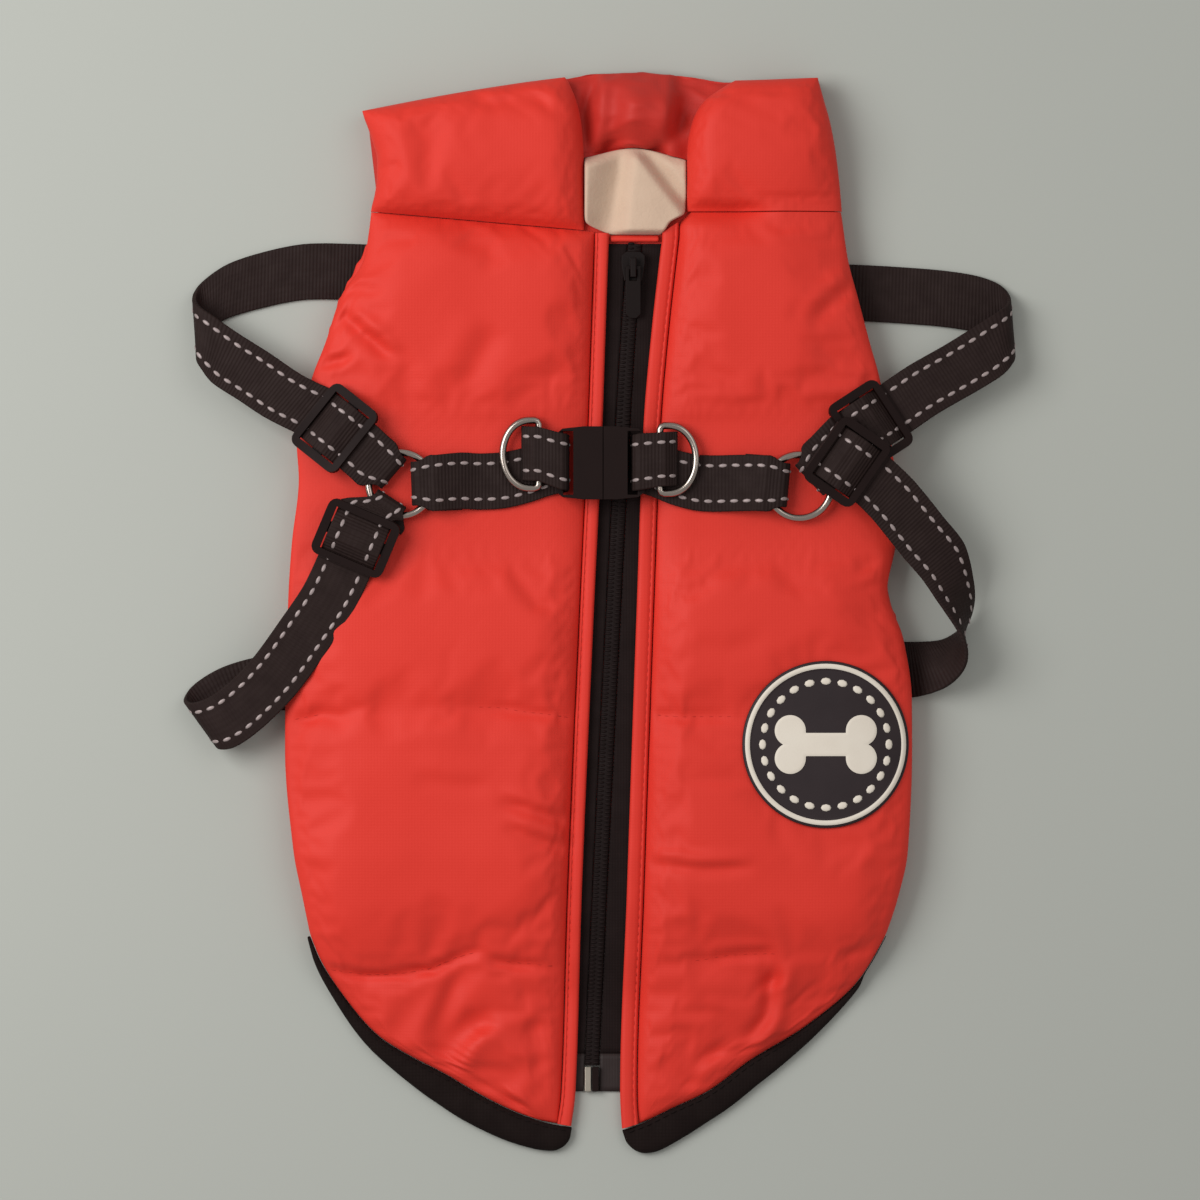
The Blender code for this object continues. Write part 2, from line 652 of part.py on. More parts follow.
def wing(name, rows, seam):
    """Half of the collar's near side, from its seam (x, y of both ends) to the upper edge."""
    (x0, y0), (x1, y1) = seam
    sections = []
    low = BELLY_TOP + GAP
    for share, x_in, x_out, full in rows:
        upper, under = [], []
        for u in ACROSS:
            x = x_in + (x_out - x_in) * u
            low_y = y0 + (x - x0) * (y1 - y0) / (x1 - x0) + GAP
            y = low_y + (hermite(COLLAR_TOP, x, 1) - low_y) * share
            rise = (full - EDGE_WALL) * rounding(abs(x - x_in), 9.0) * rounding(abs(x_out - x), 12.0)
            upper.append((x, y, low + EDGE_WALL + rise))
            under.append((x, y, low))
        sections.append(under + upper[::-1])
    return loft(name, sections, red_cloth(), strip_ends=True)


def far_collar():
    """Far side of the collar, from the belly panel's neck edge to the collar's upper edge."""
    left, right = side_x(NECK_Y, 1), side_x(NECK_Y, 2)
    top_left, top_right = FAR_COLLAR_TOP
    outline = belly_outline(left, right, 0.0, 1.0)
    sections = []
    for share, low, high in FAR_COLLAR:
        section = []
        for x_seam, z in outline:
            x_top = top_left + (x_seam - left) * (top_right - top_left) / (right - left)
            y_seam = hermite(NECK_SEAM, x_seam, 1) + GAP
            y_top = hermite(COLLAR_TOP, x_top, 1) - 0.4
            section.append((x_seam + (x_top - x_seam) * share, y_seam + (y_top - y_seam) * share,
                            low + (high - low) * z))
        sections.append(section)
    return loft("collar_far_side", sections, material("dark_red_cloth", DARK_RED, 0.6),
                strip_ends=True)


def neck_lining():
    rows = ((134.8, 4.4, 21.8), (136.6, -0.4, 23.6), (139.4, -4.8, 25.4), (142.4, -5.0, 30.4),
            (150.0, -5.0, 30.9), (157.0, -5.0, 30.9))
    low, high = BELLY_TOP + GAP, BELLY_TOP + GAP + TAPE
    shares = [k / 6 for k in range(7)]
    sections = []
    for y, x0, x1 in rows:
        xs = [x0 + (x1 - x0) * s for s in shares]
        sections.append([(x, y, low) for x in xs] + [(x, y, high) for x in reversed(xs)])
    xs = [-5.0 + 35.9 * s for s in shares]
    top = [(x, hermite(NECK_SEAM, x, 1) - 0.2) for x in xs]
    sections.append([(x, y, low) for x, y in top] + [(x, y, high) for x, y in reversed(top)])
    return loft("neck_lining", sections, material("cream_lining", CREAM, 0.8))


def slab(name, outline, low, high, mat):
    bm = bmesh.new()
    prism(bm, outline, low, high)
    return add_object(name, bm, mat)


def hem_binding(name, table, outward):
    """Black edge binding that follows a tail's hem from the side seam to the zip."""
    start = table[0][0]
    last = PANEL_ROWS[-1][0]
    heights = [y for y, _ in PANEL_ROWS if y <= start] + [row[0] for row in table if row[0] < last]
    rows = [(hermite(table, y, 1), y, hermite(table, y, 2)) for y in heights]
    sections = []
    for i, (x, y, width) in enumerate(rows):
        before, after = rows[max(i - 1, 0)], rows[min(i + 1, len(rows) - 1)]
        tangent = Vector((after[0] - before[0], after[1] - before[1])).normalized()
        normal = Vector((tangent.y, -tangent.x)) * outward
        low = deck(y)
        thick = 2.2 + 1.6 * min(width / 6.0, 1.0)
        start = Vector((x, y)) + normal * GAP
        profile = ((0.0, 0.0), (0.85, 0.0), (1.0, 0.45), (0.85, 0.9), (0.3, 1.0), (0.0, 0.95))
        sections.append([
            (start.x + normal.x * width * u, start.y + normal.y * width * u, low + thick * v)
            for u, v in profile])
    return loft(name, sections, material("black_binding", BLACK, 0.75))


def belly_binding():
    left, right = side_x(BELLY_HEM_Y, 1) + 2.5, side_x(BELLY_HEM_Y, 2) - 2.5
    y = BELLY_HEM_Y - GAP
    profile = ((0.0, 0.0), (-3.2, 0.0), (-3.8, 1.6), (-3.2, 3.2), (0.0, 3.8))
    sections = [[(x, y + dy, z) for dy, z in profile] for x in (left, 0.0, right)]
    return loft("belly_hem_binding", sections, material("black_binding", BLACK, 0.75))


def badge():
    """Round badge that follows the right panel, moved out from its surface."""
    cx, cy = BADGE_CENTRE
    radii = [BADGE_RADIUS * s for s in (0.4, 0.7, 0.88, 1.0)]
    steps = 28
    bm = bmesh.new()

    def height(x, y):
        return panel_top(x, y, 2) + 0.55

    faces_rings = []
    for lift in (0.0, BADGE_THICK):
        middle = bm.verts.new((cx, cy, height(cx, cy) + lift))
        rings = []
        for radius in radii:
            rim = ellipse((cx, cy), radius, radius, steps)
            rings.append([bm.verts.new((x, y, height(x, y) + lift)) for x, y in rim])
        for i in range(steps):
            bm.faces.new((middle, rings[0][i], rings[0][(i + 1) % steps]))
        for low, high in zip(rings, rings[1:]):
            for i in range(steps):
                j = (i + 1) % steps
                bm.faces.new((low[i], low[j], high[j], high[i]))
        faces_rings.append(rings[-1])
    bottom, top = faces_rings
    for i in range(steps):
        j = (i + 1) % steps
        bm.faces.new((bottom[i], bottom[j], top[j], top[i]))
    return add_object("badge", bm, material("badge_black", BLACK, 0.5))


# ---------------------------------------------------------------- the zip
def zip_middle(y):
    """Middle line of the coil, which lies nearer to the left tape towards the tails."""
    drift = COIL_DRIFT * min(max((60.0 - y) / 220.0, 0.0), 1.0)
    return (hermite(ZIP_EDGES, y, 1) + hermite(ZIP_EDGES, y, 2)) / 2 - drift


def zip_strip(name, edges, height, ends, mat):
    """Band along the zip between two edge functions of y."""
    sections = []
    for y in zip_rows(*ends):
        low_x, high_x = edges(y)
        low, high = deck(y), deck(y) + height
        sections.append([(low_x, y, low), (high_x, y, low), (high_x, y, high), (low_x, y, high)])
    return loft(name, sections, mat)


def zip_chain():
    tape = material("black_tape", BLACK, 0.8)
    half = COIL_WIDTH / 2
    ends = (131.6, -169.8)
    zip_strip("zip_tape_left",
              lambda y: (hermite(ZIP_EDGES, y, 1) - 1.6, zip_middle(y) - half - GAP), TAPE, ends, tape)
    zip_strip("zip_tape_right",
              lambda y: (zip_middle(y) + half + GAP, hermite(ZIP_EDGES, y, 2) + 1.6), TAPE, ends, tape)
    zip_strip("zip_coil",
              lambda y: (zip_middle(y) - half, zip_middle(y) + half), COIL_HEIGHT,
              (131.6, -160.6), black_plastic())


def zip_ends():
    y0, y1 = -169.8, -161.0
    middle = zip_middle(-165.0)
    slab("zip_pin", rectangle(middle - 2.5, middle - 0.15, y0, y1), 0.0, 2.4, steel())
    slab("zip_box", rectangle(middle + 0.15, middle + 2.5, y0, y1), 0.0, 2.8, black_plastic())
    low = BELLY_TOP + GAP
    slab("neck_edge_band", rectangle(4.0, 21.3, 132.2, 134.4), low, low + 2.4, red_cloth())


def zip_slider():
    """Slider body over the coil with a bridge that the pull tab hangs on."""
    x = zip_middle(ZIP_SLIDER_Y)
    low = BELLY_TOP + GAP + COIL_HEIGHT + GAP
    plate = ((x - 3.2, ZIP_SLIDER_Y - 5.0), (x + 3.2, ZIP_SLIDER_Y - 5.0), (x + 4.2, ZIP_SLIDER_Y + 1.0),
             (x + 4.2, ZIP_SLIDER_Y + 4.0), (x + 2.4, ZIP_SLIDER_Y + 5.4),
             (x - 2.4, ZIP_SLIDER_Y + 5.4), (x - 4.2, ZIP_SLIDER_Y + 4.0),
             (x - 4.2, ZIP_SLIDER_Y + 1.0))
    body = slab("zip_slider", plate, low, low + 1.5, black_plastic())
    bridge = rectangle(x - 1.0, x + 1.0, ZIP_HINGE_Y - 3.4, ZIP_HINGE_Y + 3.4)
    boolean(body, "UNION", [(bridge, low + 0.8, ZIP_HINGE_Z + 1.7)])
    window = rectangle(x - 2.0, x + 2.0, ZIP_HINGE_Y - 1.3, ZIP_HINGE_Y + 1.3)
    cutter = bmesh.new()
    prism(cutter, window, ZIP_HINGE_Z - 1.1, ZIP_HINGE_Z + 0.9)
    tool = add_object("zip_slider_window", cutter, black_plastic())
    tool.hide_render = True
    tool.display_type = "WIRE"
    cut = body.modifiers.new("Window", "BOOLEAN")
    cut.operation = "DIFFERENCE"
    cut.solver = "EXACT"
    cut.object = tool


def zip_pull():
    """Pull tab hanging from the bridge: a crossbar through its window, two arms and a tab."""
    x = zip_middle(ZIP_SLIDER_Y)
    half = 0.6
    arm_in, arm_out = 1.4, 2.6
    tab_start, tab_end = -4.6, -18.0
    outline = ((-arm_out, half), (arm_out, half), (arm_out, tab_end + 1.4), (arm_out - 1.4, tab_end),
               (-arm_out + 1.4, tab_end), (-arm_out, tab_end + 1.4))
    bm = bmesh.new()
    prism(bm, outline, -half, half)
    origin = (x, ZIP_HINGE_Y, ZIP_HINGE_Z)
    matrix = Matrix.Translation(Vector(origin) * MM) @ Matrix.Rotation(math.radians(PULL_DROP), 4, "X")
    pull = add_object("zip_pull", bm, black_plastic(), matrix)
    eye = rectangle(-arm_in, arm_in, tab_start, -half)
    boolean(pull, "DIFFERENCE", [(eye, -2.0, 2.0)], matrix)


# ---------------------------------------------------------------- the harness
def ribbon(name, stations, mat=None):
    """Flat webbing between two edge lines: each station is edge a and edge b, x, y, z each."""
    middles = [(Vector(s[:3]) + Vector(s[3:])) / 2 for s in stations]
    sections = []
    for i, station in enumerate(stations):
        before = middles[max(i - 1, 0)]
        after = middles[min(i + 1, len(middles) - 1)]
        tangent = (after - before).normalized()
        across = Vector(station[3:]) - Vector(station[:3])
        normal = tangent.cross(across).normalized() * (WEB / 2)
        a, b = Vector(station[:3]), Vector(station[3:])
        sections.append([a - normal, b - normal, b + normal, a + normal])
    return loft(name, sections, mat or black_webbing())


def flat_station(centre, across, half):
    """Station whose edges lie half a width either way of a centre, in the plan."""
    c = Vector(centre)
    w = Vector((across[0], across[1], 0.0)).normalized() * half
    return (*(c + w), *(c - w))


def ring_fold(centre, fold, side, spread=True):
    """Stations of webbing from its tail under a junction ring, round the wire and back over it."""
    heading, reach, tail, right, left = fold
    direction = Vector((math.cos(math.radians(heading)), math.sin(math.radians(heading))))
    across = Vector((direction.y, -direction.x))
    rise = RING_WIRE + GAP + WEB / 2
    bend = reach + rise
    rows = [(tail, -rise, 1.0), (bend + FOLD_SPREAD, -rise, 1.0), (bend + 1.4, -rise, 0.45),
            (bend, -rise, 0.15)]
    for k in range(1, 6):
        a = math.pi * k / 6
        rows.append((bend - rise * math.sin(a), -rise * math.cos(a), 0.0))
    rows += [(bend, rise, 0.15), (bend + 1.4, rise, 0.45)]
    if spread:
        rows += [(bend + FOLD_SPREAD, rise, 1.0), (bend + FOLD_SPREAD + 2.2, rise, 1.0)]
    stations = []
    for r, h, share in rows:
        middle = Vector((*(Vector(centre) + direction * r), RING_Z + h))
        ends = []
        for width, sign in ((right, 1), (left, -1)):
            half = width + (WEB_WIDTH / 2 - 0.1 - width) * share
            ends.append(middle + sign * half * across.to_3d())
        stations.append((*ends[0], *ends[1]) if side == 1 else (*ends[1], *ends[0]))
    return stations


def slider_frame(key):
    """Origin and axes of a slider: along the webbing, across it and out of its face."""
    x, y, z, heading, fall = SLIDERS[key]
    a = math.radians(heading)
    along = Vector((math.cos(a), math.sin(a), -fall)).normalized()
    across = Vector((-math.sin(a), math.cos(a), 0.0))
    return Vector((x, y, z)), along, across, along.cross(across)


def slider(key):
    origin, along, across, face = slider_frame(key)
    matrix = placed(origin, along, across, face)
    bm = bmesh.new()
    prism(bm, rounded_rectangle(SLIDER_LENGTH, SLIDER_WIDTH, 3.2), 0.0, SLIDER_THICK)
    frame = add_object("slider_" + key, bm, black_plastic(), matrix)
    inner = SLIDER_LENGTH / 2 - SLIDER_END
    w = WINDOW_HALF
    cuts = []
    for sign in (-1, 1):
        near, far = sorted((sign * SLIDER_BAR, sign * inner))
        cuts.append((rectangle(near, far, -w, w), -2.0, SLIDER_THICK + 2))
        near, far = sorted((sign * (inner - 0.4), sign * (SLIDER_LENGTH / 2 + 2)))
        cuts.append((rectangle(near, far, -w + 0.02, w - 0.02), -2.2, 1.0))
    cuts.append((rectangle(-SLIDER_BAR - 0.4, SLIDER_BAR + 0.4, -w + 0.03, w - 0.03),
                 SLIDER_THICK - 1.0, SLIDER_THICK + 2.2))
    for cut in cuts:
        boolean(frame, "DIFFERENCE", [cut], matrix)
    return frame


def slider_stations(key, side):
    """Webbing woven under the end bars of a slider and over its middle bar."""
    origin, along, across, face = slider_frame(key)
    low, high = -0.1, 2.9
    bar = SLIDER_LENGTH / 2 - SLIDER_END
    rows = [(-bar - 2.9, low), (-bar, low), (-2.6, high - 0.15), (-1.4, high), (1.4, high),
            (2.6, high - 0.15), (bar, low), (bar + 2.9, low)]
    edge = across * (-side * WEB_WIDTH / 2)
    stations = []
    for s, h in rows:
        centre = origin + along * s + face * h
        stations.append((*(centre + edge), *(centre - edge)))
    return stations


def harness_loop(name, key, side, table, fold=None):
    """One harness loop: ring fold where it has one, slider, free run, end under the belly."""
    stations = list(fold or [])
    stations += slider_stations(key, side)
    for row in catmull([stations[-1], *table], 3):
        stations.append((*row[:2], max(row[2], WEB / 2), *row[3:5], max(row[5], WEB / 2)))
    del stations[-3 * len(table) - 2]
    ribbon(name, stations)


def chest_strap(name, ring, ring_side, fold, table, bar_ys, d_ring, end):
    """Chest strap: ring fold, run to the buckle, round its bar and back over the D-ring's bar."""
    stations = ring_fold(ring, fold, -ring_side)
    low = STRAP_FLAT + GAP + WEB / 2
    sign = ring_side
    heights = {0: low + WEB + GAP + 0.1}
    half = WEB_WIDTH / 2
    for i, (x, y) in enumerate(table):
        stations.append(flat_station((x, y, heights.get(i, low)), (0, 1), half))
    bar_x = BUCKLE_MID[0] - sign * BUCKLE_BAR
    for k in range(0, 7):
        a = math.pi * k / 6
        y = bar_ys[0] + (bar_ys[1] - bar_ys[0]) * k / 6
        stations.append(flat_station((bar_x + sign * BAR_BEND * math.sin(a), y,
                                      low + BAR_BEND - BAR_BEND * math.cos(a)), (0, 1), half))
    x, y = d_ring
    over = STRAP_FLAT + 3 * GAP + WEB + 2 * D_WIRE + WEB / 2
    drop = low + WEB + GAP
    half = TAB_HALF
    stations.append(flat_station((x, y, over), (0, 1), half))
    stations.append(flat_station((x - sign * 1.6, y + 0.1, over - 0.1), (0, 1), half))
    stations.append(flat_station((x - sign * 5.0, y + 0.3, drop + 0.2), (0, 1), half))
    stations.append(flat_station((*end, drop + 0.1), (0, 1), half))
    ribbon(name, stations)


def junction_ring(name, centre):
    steps = 24
    path = [Vector((centre[0] + RING_RADIUS * math.cos(math.tau * k / steps),
                    centre[1] + RING_RADIUS * math.sin(math.tau * k / steps), RING_Z))
            for k in range(steps)]
    tube_ring(name, path, RING_WIRE, 6, steel())


def d_ring(name, x, y, outward):
    """D-ring with its bar along Y; its origin is on the bar, which it swings about."""
    z = STRAP_FLAT + GAP + WEB + GAP + D_WIRE
    steps = 14
    path = [Vector((outward * (D_LEG + D_BOW * math.sin(math.pi * k / steps)),
                    D_HALF * math.cos(math.pi * k / steps), 0.0)) for k in range(steps + 1)]
    path += [Vector((outward * x, y, 0.0)) for x, y in
             ((0.9, -D_HALF), (0.0, -D_HALF + 0.9), (0.0, D_HALF - 0.9), (0.9, D_HALF))]
    matrix = Matrix.Translation(Vector((x, y, z)) * MM)
    tube_ring(name, path, D_WIRE, 6, steel(), matrix=matrix)


def buckle():
    """Side-release buckle: a socket on the left, a clip on the right, latched."""
    cx, cy = BUCKLE_MID
    half = BUCKLE_WIDTH / 2
    bar_z = STRAP_FLAT + GAP + WEB / 2 + BAR_BEND
    reach, slot_out = BUCKLE_BAR + 1.2, BUCKLE_BAR - 1.2
    slot_in = 9.6
    web = WEB_WIDTH / 2 + 1.3
    low, high = BUCKLE_LOW, BUCKLE_HIGH
    shell = ((-reach, half - 2.6), (-reach + 2.2, half - 0.8), (-6.0, half), (0.8, half),
             (0.8, -half), (-6.0, -half), (-reach + 2.2, -half + 0.8), (-reach, -half + 2.6))
    socket = slab("buckle_socket", [(cx + x, cy + y) for x, y in shell], low, high, black_plastic())
    boolean(socket, "DIFFERENCE", [
        (rectangle(cx - slot_out, cx - slot_in, cy - web, cy + web), low - 1, high + 1)])
    bar_low, bar_high = bar_z - 1.1, bar_z + 1.1
    over_bar = rectangle(cx - reach - 1, cx - slot_out + 0.4, cy - web + 0.02, cy + web - 0.02)
    mouth = rectangle(cx - 7.4, cx + 2.0, cy - 9.8, cy + 9.8)
    window = rectangle(cx - 6.2, cx - 1.6, cy - half - 1, cy + half + 1)
    mid = (low + high) / 2
    for block in ((over_bar, low - 1.1, bar_low), (over_bar, bar_high, high + 1.1),
                  (mouth, mid - 1.9, mid + 1.9), (window, mid - 1.88, mid + 1.88)):
        boolean(socket, "DIFFERENCE", [block])
    side = ((1.1, half), (6.0, half), (reach - 2.2, half - 0.8), (reach, half - 2.6),
            (reach, -half + 2.6), (reach - 2.2, -half + 0.8), (6.0, -half), (1.1, -half))
    clip = slab("buckle_clip", [(cx + x, cy + y) for x, y in side], low, high, black_plastic())
    prong = ((1.6, 9.5), (-1.9, 9.5), (-1.9, 12.4), (-5.0, 12.4), (-5.9, 10.8), (-5.9, 6.9), (1.6, 6.9))
    prongs = [([(cx + x, cy + sign * y) for x, y in prong], mid - 1.5, mid + 1.5) for sign in (1, -1)]
    tongue = (rectangle(cx - 6.4, cx + 1.6, cy - 2.4, cy + 2.4), mid - 1.5, mid + 1.5)
    boolean(clip, "UNION", [*prongs, tongue])
    boolean(clip, "DIFFERENCE", [
        (rectangle(cx + slot_in, cx + slot_out, cy - web, cy + web), low - 1, high + 1)])
    over_bar = rectangle(cx + slot_out - 0.4, cx + reach + 1, cy - web + 0.02, cy + web - 0.02)
    for block in ((over_bar, low - 1.1, bar_low), (over_bar, bar_high, high + 1.1)):
        boolean(clip, "DIFFERENCE", [block])


def under_strap(name, y, slope, x0, x1):
    rows = []
    for x in (x0, x1):
        centre = Vector((x, y + slope * x, WEB / 2))
        rows.append(flat_station(centre, (-slope, 1.0), WEB_WIDTH / 2))
    ribbon(name, rows)


# ---------------------------------------------------------------- assembly
def main():
    clear_scene()
    belly_panel()
    for side, centre in LEG_HOLES.items():
        leg_binding("leg_binding_" + side, centre)
    belly_binding()
    zip_side_panel("zip_side_panel_left", 1)
    zip_side_panel("zip_side_panel_right", 2)
    placket("placket_left", 1)
    placket("placket_right", 2)
    hem_binding("hem_binding_left", HEM_LEFT, 1)
    hem_binding("hem_binding_right", HEM_RIGHT, -1)
    far_collar()
    wing("collar_wing_left", WING_LEFT, SEAM_LEFT)
    wing("collar_wing_right", WING_RIGHT, SEAM_RIGHT)
    neck_lining()
    zip_chain()
    zip_ends()
    zip_slider()
    zip_pull()
    badge()

    junction_ring("junction_ring_left", RING_LEFT)
    junction_ring("junction_ring_right", RING_RIGHT)
    for key in SLIDERS:
        slider(key)
    d_ring("d_ring_left", *D_RING_LEFT, -1)
    d_ring("d_ring_right", *D_RING_RIGHT, 1)
    buckle()
    chest_strap("chest_strap_left", RING_LEFT, 1, FOLD_CHEST_LEFT, CHEST_LEFT, (53.0, 54.4),
                D_RING_LEFT, (-27.2, 57.2))
    chest_strap("chest_strap_right", RING_RIGHT, -1, FOLD_CHEST_RIGHT, CHEST_RIGHT, (53.0, 54.1),
                D_RING_RIGHT, (27.6, 55.3))
    harness_loop("loop_upper_left", "upper_left", 1, LOOP_UPPER_LEFT,
                 ring_fold(RING_LEFT, FOLD_UPPER_LEFT, 1))
    harness_loop("loop_lower_left", "lower_left", 1, LOOP_LOWER_LEFT,
                 ring_fold(RING_LEFT, FOLD_LOWER_LEFT, 1, spread=False))
    harness_loop("loop_upper_right", "upper_right", -1, LOOP_UPPER_RIGHT,
                 ring_fold(RING_RIGHT, FOLD_UPPER_RIGHT, -1))
    harness_loop("loop_lower_right", "lower_right", 1, LOOP_LOWER_RIGHT)
    under_strap("under_strap_upper", UPPER_STRAP_Y, UPPER_STRAP_SLOPE, -77.4, 77.9)
    under_strap("under_strap_lower", LOWER_STRAP_Y, LOWER_STRAP_SLOPE, -96.5, 87.3)


main()
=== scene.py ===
"""Looks of a padded dog coat with a back zip and a webbing harness, laid flat, zip side up.

Sizes in this file are millimetres in the row frame of the CAD model (+X right, +Y towards
the collar, +Z up, zero on the table). They are turned to metres where a mesh is made.
"""
import logging
import math
import sys
from collections.abc import Callable
from dataclasses import dataclass, field, replace
from enum import Enum

import bmesh
import bpy
import numpy as np
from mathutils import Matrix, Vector, noise
from mathutils.bvhtree import BVHTree

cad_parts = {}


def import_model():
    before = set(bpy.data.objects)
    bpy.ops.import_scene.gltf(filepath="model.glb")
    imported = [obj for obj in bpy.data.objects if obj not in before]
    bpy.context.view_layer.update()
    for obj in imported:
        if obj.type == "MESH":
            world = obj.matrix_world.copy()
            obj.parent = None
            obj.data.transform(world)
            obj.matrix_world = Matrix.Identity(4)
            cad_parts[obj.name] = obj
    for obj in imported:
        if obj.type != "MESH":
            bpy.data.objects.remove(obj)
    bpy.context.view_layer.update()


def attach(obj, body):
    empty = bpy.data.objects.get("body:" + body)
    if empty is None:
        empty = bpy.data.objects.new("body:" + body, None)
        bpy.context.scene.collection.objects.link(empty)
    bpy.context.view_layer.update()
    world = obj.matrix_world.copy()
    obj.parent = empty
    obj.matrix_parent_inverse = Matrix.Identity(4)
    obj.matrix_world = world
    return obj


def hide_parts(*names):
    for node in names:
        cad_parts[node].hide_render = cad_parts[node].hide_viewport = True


LOG = logging.getLogger("dog_coat")
Row = tuple[float, ...]
Table = tuple[Row, ...]
Grid = list[list[tuple[Row, Row]]]
Measure = Callable[[float, float], float]

MM = 0.001
GAP = 0.3                    # seam or contact gap between neighbouring pieces
SEAM = 0.1                   # what stays open of a gap where a seam is drawn closed
BELLY_TOP = 8.0              # thickness of the belly-side layer
EDGE_WALL = 1.6              # cloth at the sewn edge of a padded panel
ROUND_IN = 13.0              # padded shoulder beside the placket
ROUND_OUT = 30.0             # padded shoulder at the side
PLACKET_WIDTH = {1: 5.0, 2: 6.0}
PLACKET_HEIGHT = 4.2
TAPE = 1.0                   # zip tape
COIL_HALF = 2.6              # half width of the closed coil
COIL_DRIFT = 2.3             # how far the coil lies left of the middle at the tails
WEB_WIDTH = 20.0             # harness webbing
WEB = 1.6
DASH_ROW = 6.3               # from the webbing's middle to each reflective row
STRAP_FLAT = 14.0            # height of the panels under the chest straps
RING_WIRE = 1.3
RING_RADIUS = 11.3
RING_Z = STRAP_FLAT + GAP + WEB + GAP + RING_WIRE
FOLD_SPREAD = 3.8            # from a fold round a ring to the webbing's full width
D_WIRE = 1.3
D_HALF = 12.0                # half length of a D-ring's straight side
D_LEG = 3.6
D_BOW = 9.2
TAB_HALF = 9.6               # half width of a chest strap's folded-back end
SLIDER_LENGTH = 21.0
SLIDER_END = 2.6
BUCKLE_X = 0.5
BUCKLE_BAR = 14.4            # from the buckle's middle to each bar
BAR_BEND = 2.6               # radius of the webbing round a bar
BADGE_CENTRE = (80.3, -46.0)
BADGE_RADIUS = 29.6
UPPER_STRAP = (118.3, -0.0414, -77.4, 77.9)   # y on the middle line, slope, both ends x
LOWER_STRAP = (-21.8, 0.0186, -96.5, 87.3)
NECK_Y = 163.3
STRAP_QUILT = -34.0          # quilting lines across the zip-side panels
HEM_QUILT = -122.7
STRAP_LINE = 47.0            # middle of the chest straps
SIDE_SEAM_FROM = (48.0, 66.0)  # x where the right wing's seam fades into the panel
SIDE_FULL = 8.8              # padding height past there
# How each quilting line wanders: x, y, by line and side
QUILT_PATHS: dict[tuple[float, int], Table] = {
    (STRAP_QUILT, 1): ((-112, -38), (-97, -35), (-60, -33), (-38.4, -32.8),
                       (-25, -34.6), (-9, -37)),
    (STRAP_QUILT, 2): ((10, -34.2), (26, -36), (46, -36.2), (110, -34)),
    (HEM_QUILT, 1): ((-98, -126), (-81.3, -128), (-70.6, -127.4), (-60, -125.6),
                     (-50.5, -122), (-43, -120.2), (-38, -122.4), (-27, -123.8),
                     (-12, -125.4)),
    (HEM_QUILT, 2): ((8, -124.6), (35.9, -122.8), (45.7, -121), (59.1, -120.3),
                     (95, -119.8)),
}
# How much of each valley shows: x, share, by line and side
QUILT_SHOWS: dict[tuple[float, int], Table] = {
    (STRAP_QUILT, 1): ((-112, 0.7), (-102, 0.6), (-90, 0.2), (-50, 0.15),
                       (-38, 0.75), (-9, 0.8)),
    (STRAP_QUILT, 2): ((10, 0.85), (40, 0.8), (54, 0.2), (96, 0.15), (110, 0.4)),
    (HEM_QUILT, 1): ((-98, 0.5), (-80, 0.75), (-50, 0.75), (-44, 0.5), (-38, 0.3),
                     (-30, 0.6), (-20, 0.6), (-12, 0.3)),
    (HEM_QUILT, 2): ((8, 0.15), (30, 0.25), (38, 0.75), (58, 0.75), (68, 0.2),
                     (95, 0.35)),
}
QUILT_STITCHED = 0.55        # share from which the stitches can be seen
LEG_HOLES = {"left": (-66.0, 52.0), "right": (64.0, 52.0)}
LEG_HALF = (19.0, 28.0)
LEG_BINDING = 3.2

# Side outline of the body: y, left x, right x
BODY_SIDES: Table = (
    (163, -79, 84.3), (150, -80.2, 84.9), (139, -81.3, 86.5), (126, -83.5, 88.4),
    (113, -91.6, 91.8), (96, -97.3, 96.3), (85, -101.6, 99.4), (62, -107.4, 103.6),
    (48, -106.6, 105.2), (26, -109, 105.4), (9, -110.2, 102.4), (-9, -110.8, 108.2),
    (-30, -111.4, 111.1), (-48, -111.5, 111.2), (-84, -108.5, 109.7),
    (-101, -105.2, 106.1), (-114, -102.6, 101.9),
)
# Hem line of the tails where the binding starts: y, x, width of the binding
HEM_LEFT: Table = (
    (-114, -102.6, 1.2), (-123.4, -98.7, 2.4), (-137.6, -89.5, 3.8), (-150, -78.5, 5.4),
    (-157.4, -66.7, 8), (-163.1, -55.4, 10.4), (-170.9, -42.2, 11), (-177, -29.8, 10.8),
    (-180.2, -20.6, 10.4), (-181.6, -14.6, 9.6), (-182.4, -9.6, 8.2),
)
HEM_RIGHT: Table = (
    (-114, 101.9, 1), (-123.7, 96.6, 1.2), (-131.9, 90.9, 1.8), (-147.1, 72.8, 5),
    (-158.5, 54, 8.6), (-170.2, 38, 9.2), (-175.9, 25.6, 11.2), (-180.2, 17, 11.6),
    (-182, 12.6, 10.6), (-183.4, 8.2, 8.6),
)
# Edges of the two placket strips beside the zip: y, left strip x, right strip x
ZIP_EDGES: Table = (
    (134, 3.7, 22.2), (100, 2.5, 18.4), (67, 1.4, 15.6), (0, -1.7, 13.1),
    (-101, -6, 9.6), (-170, -8.2, 7.3), (-184, -10, 8),
)
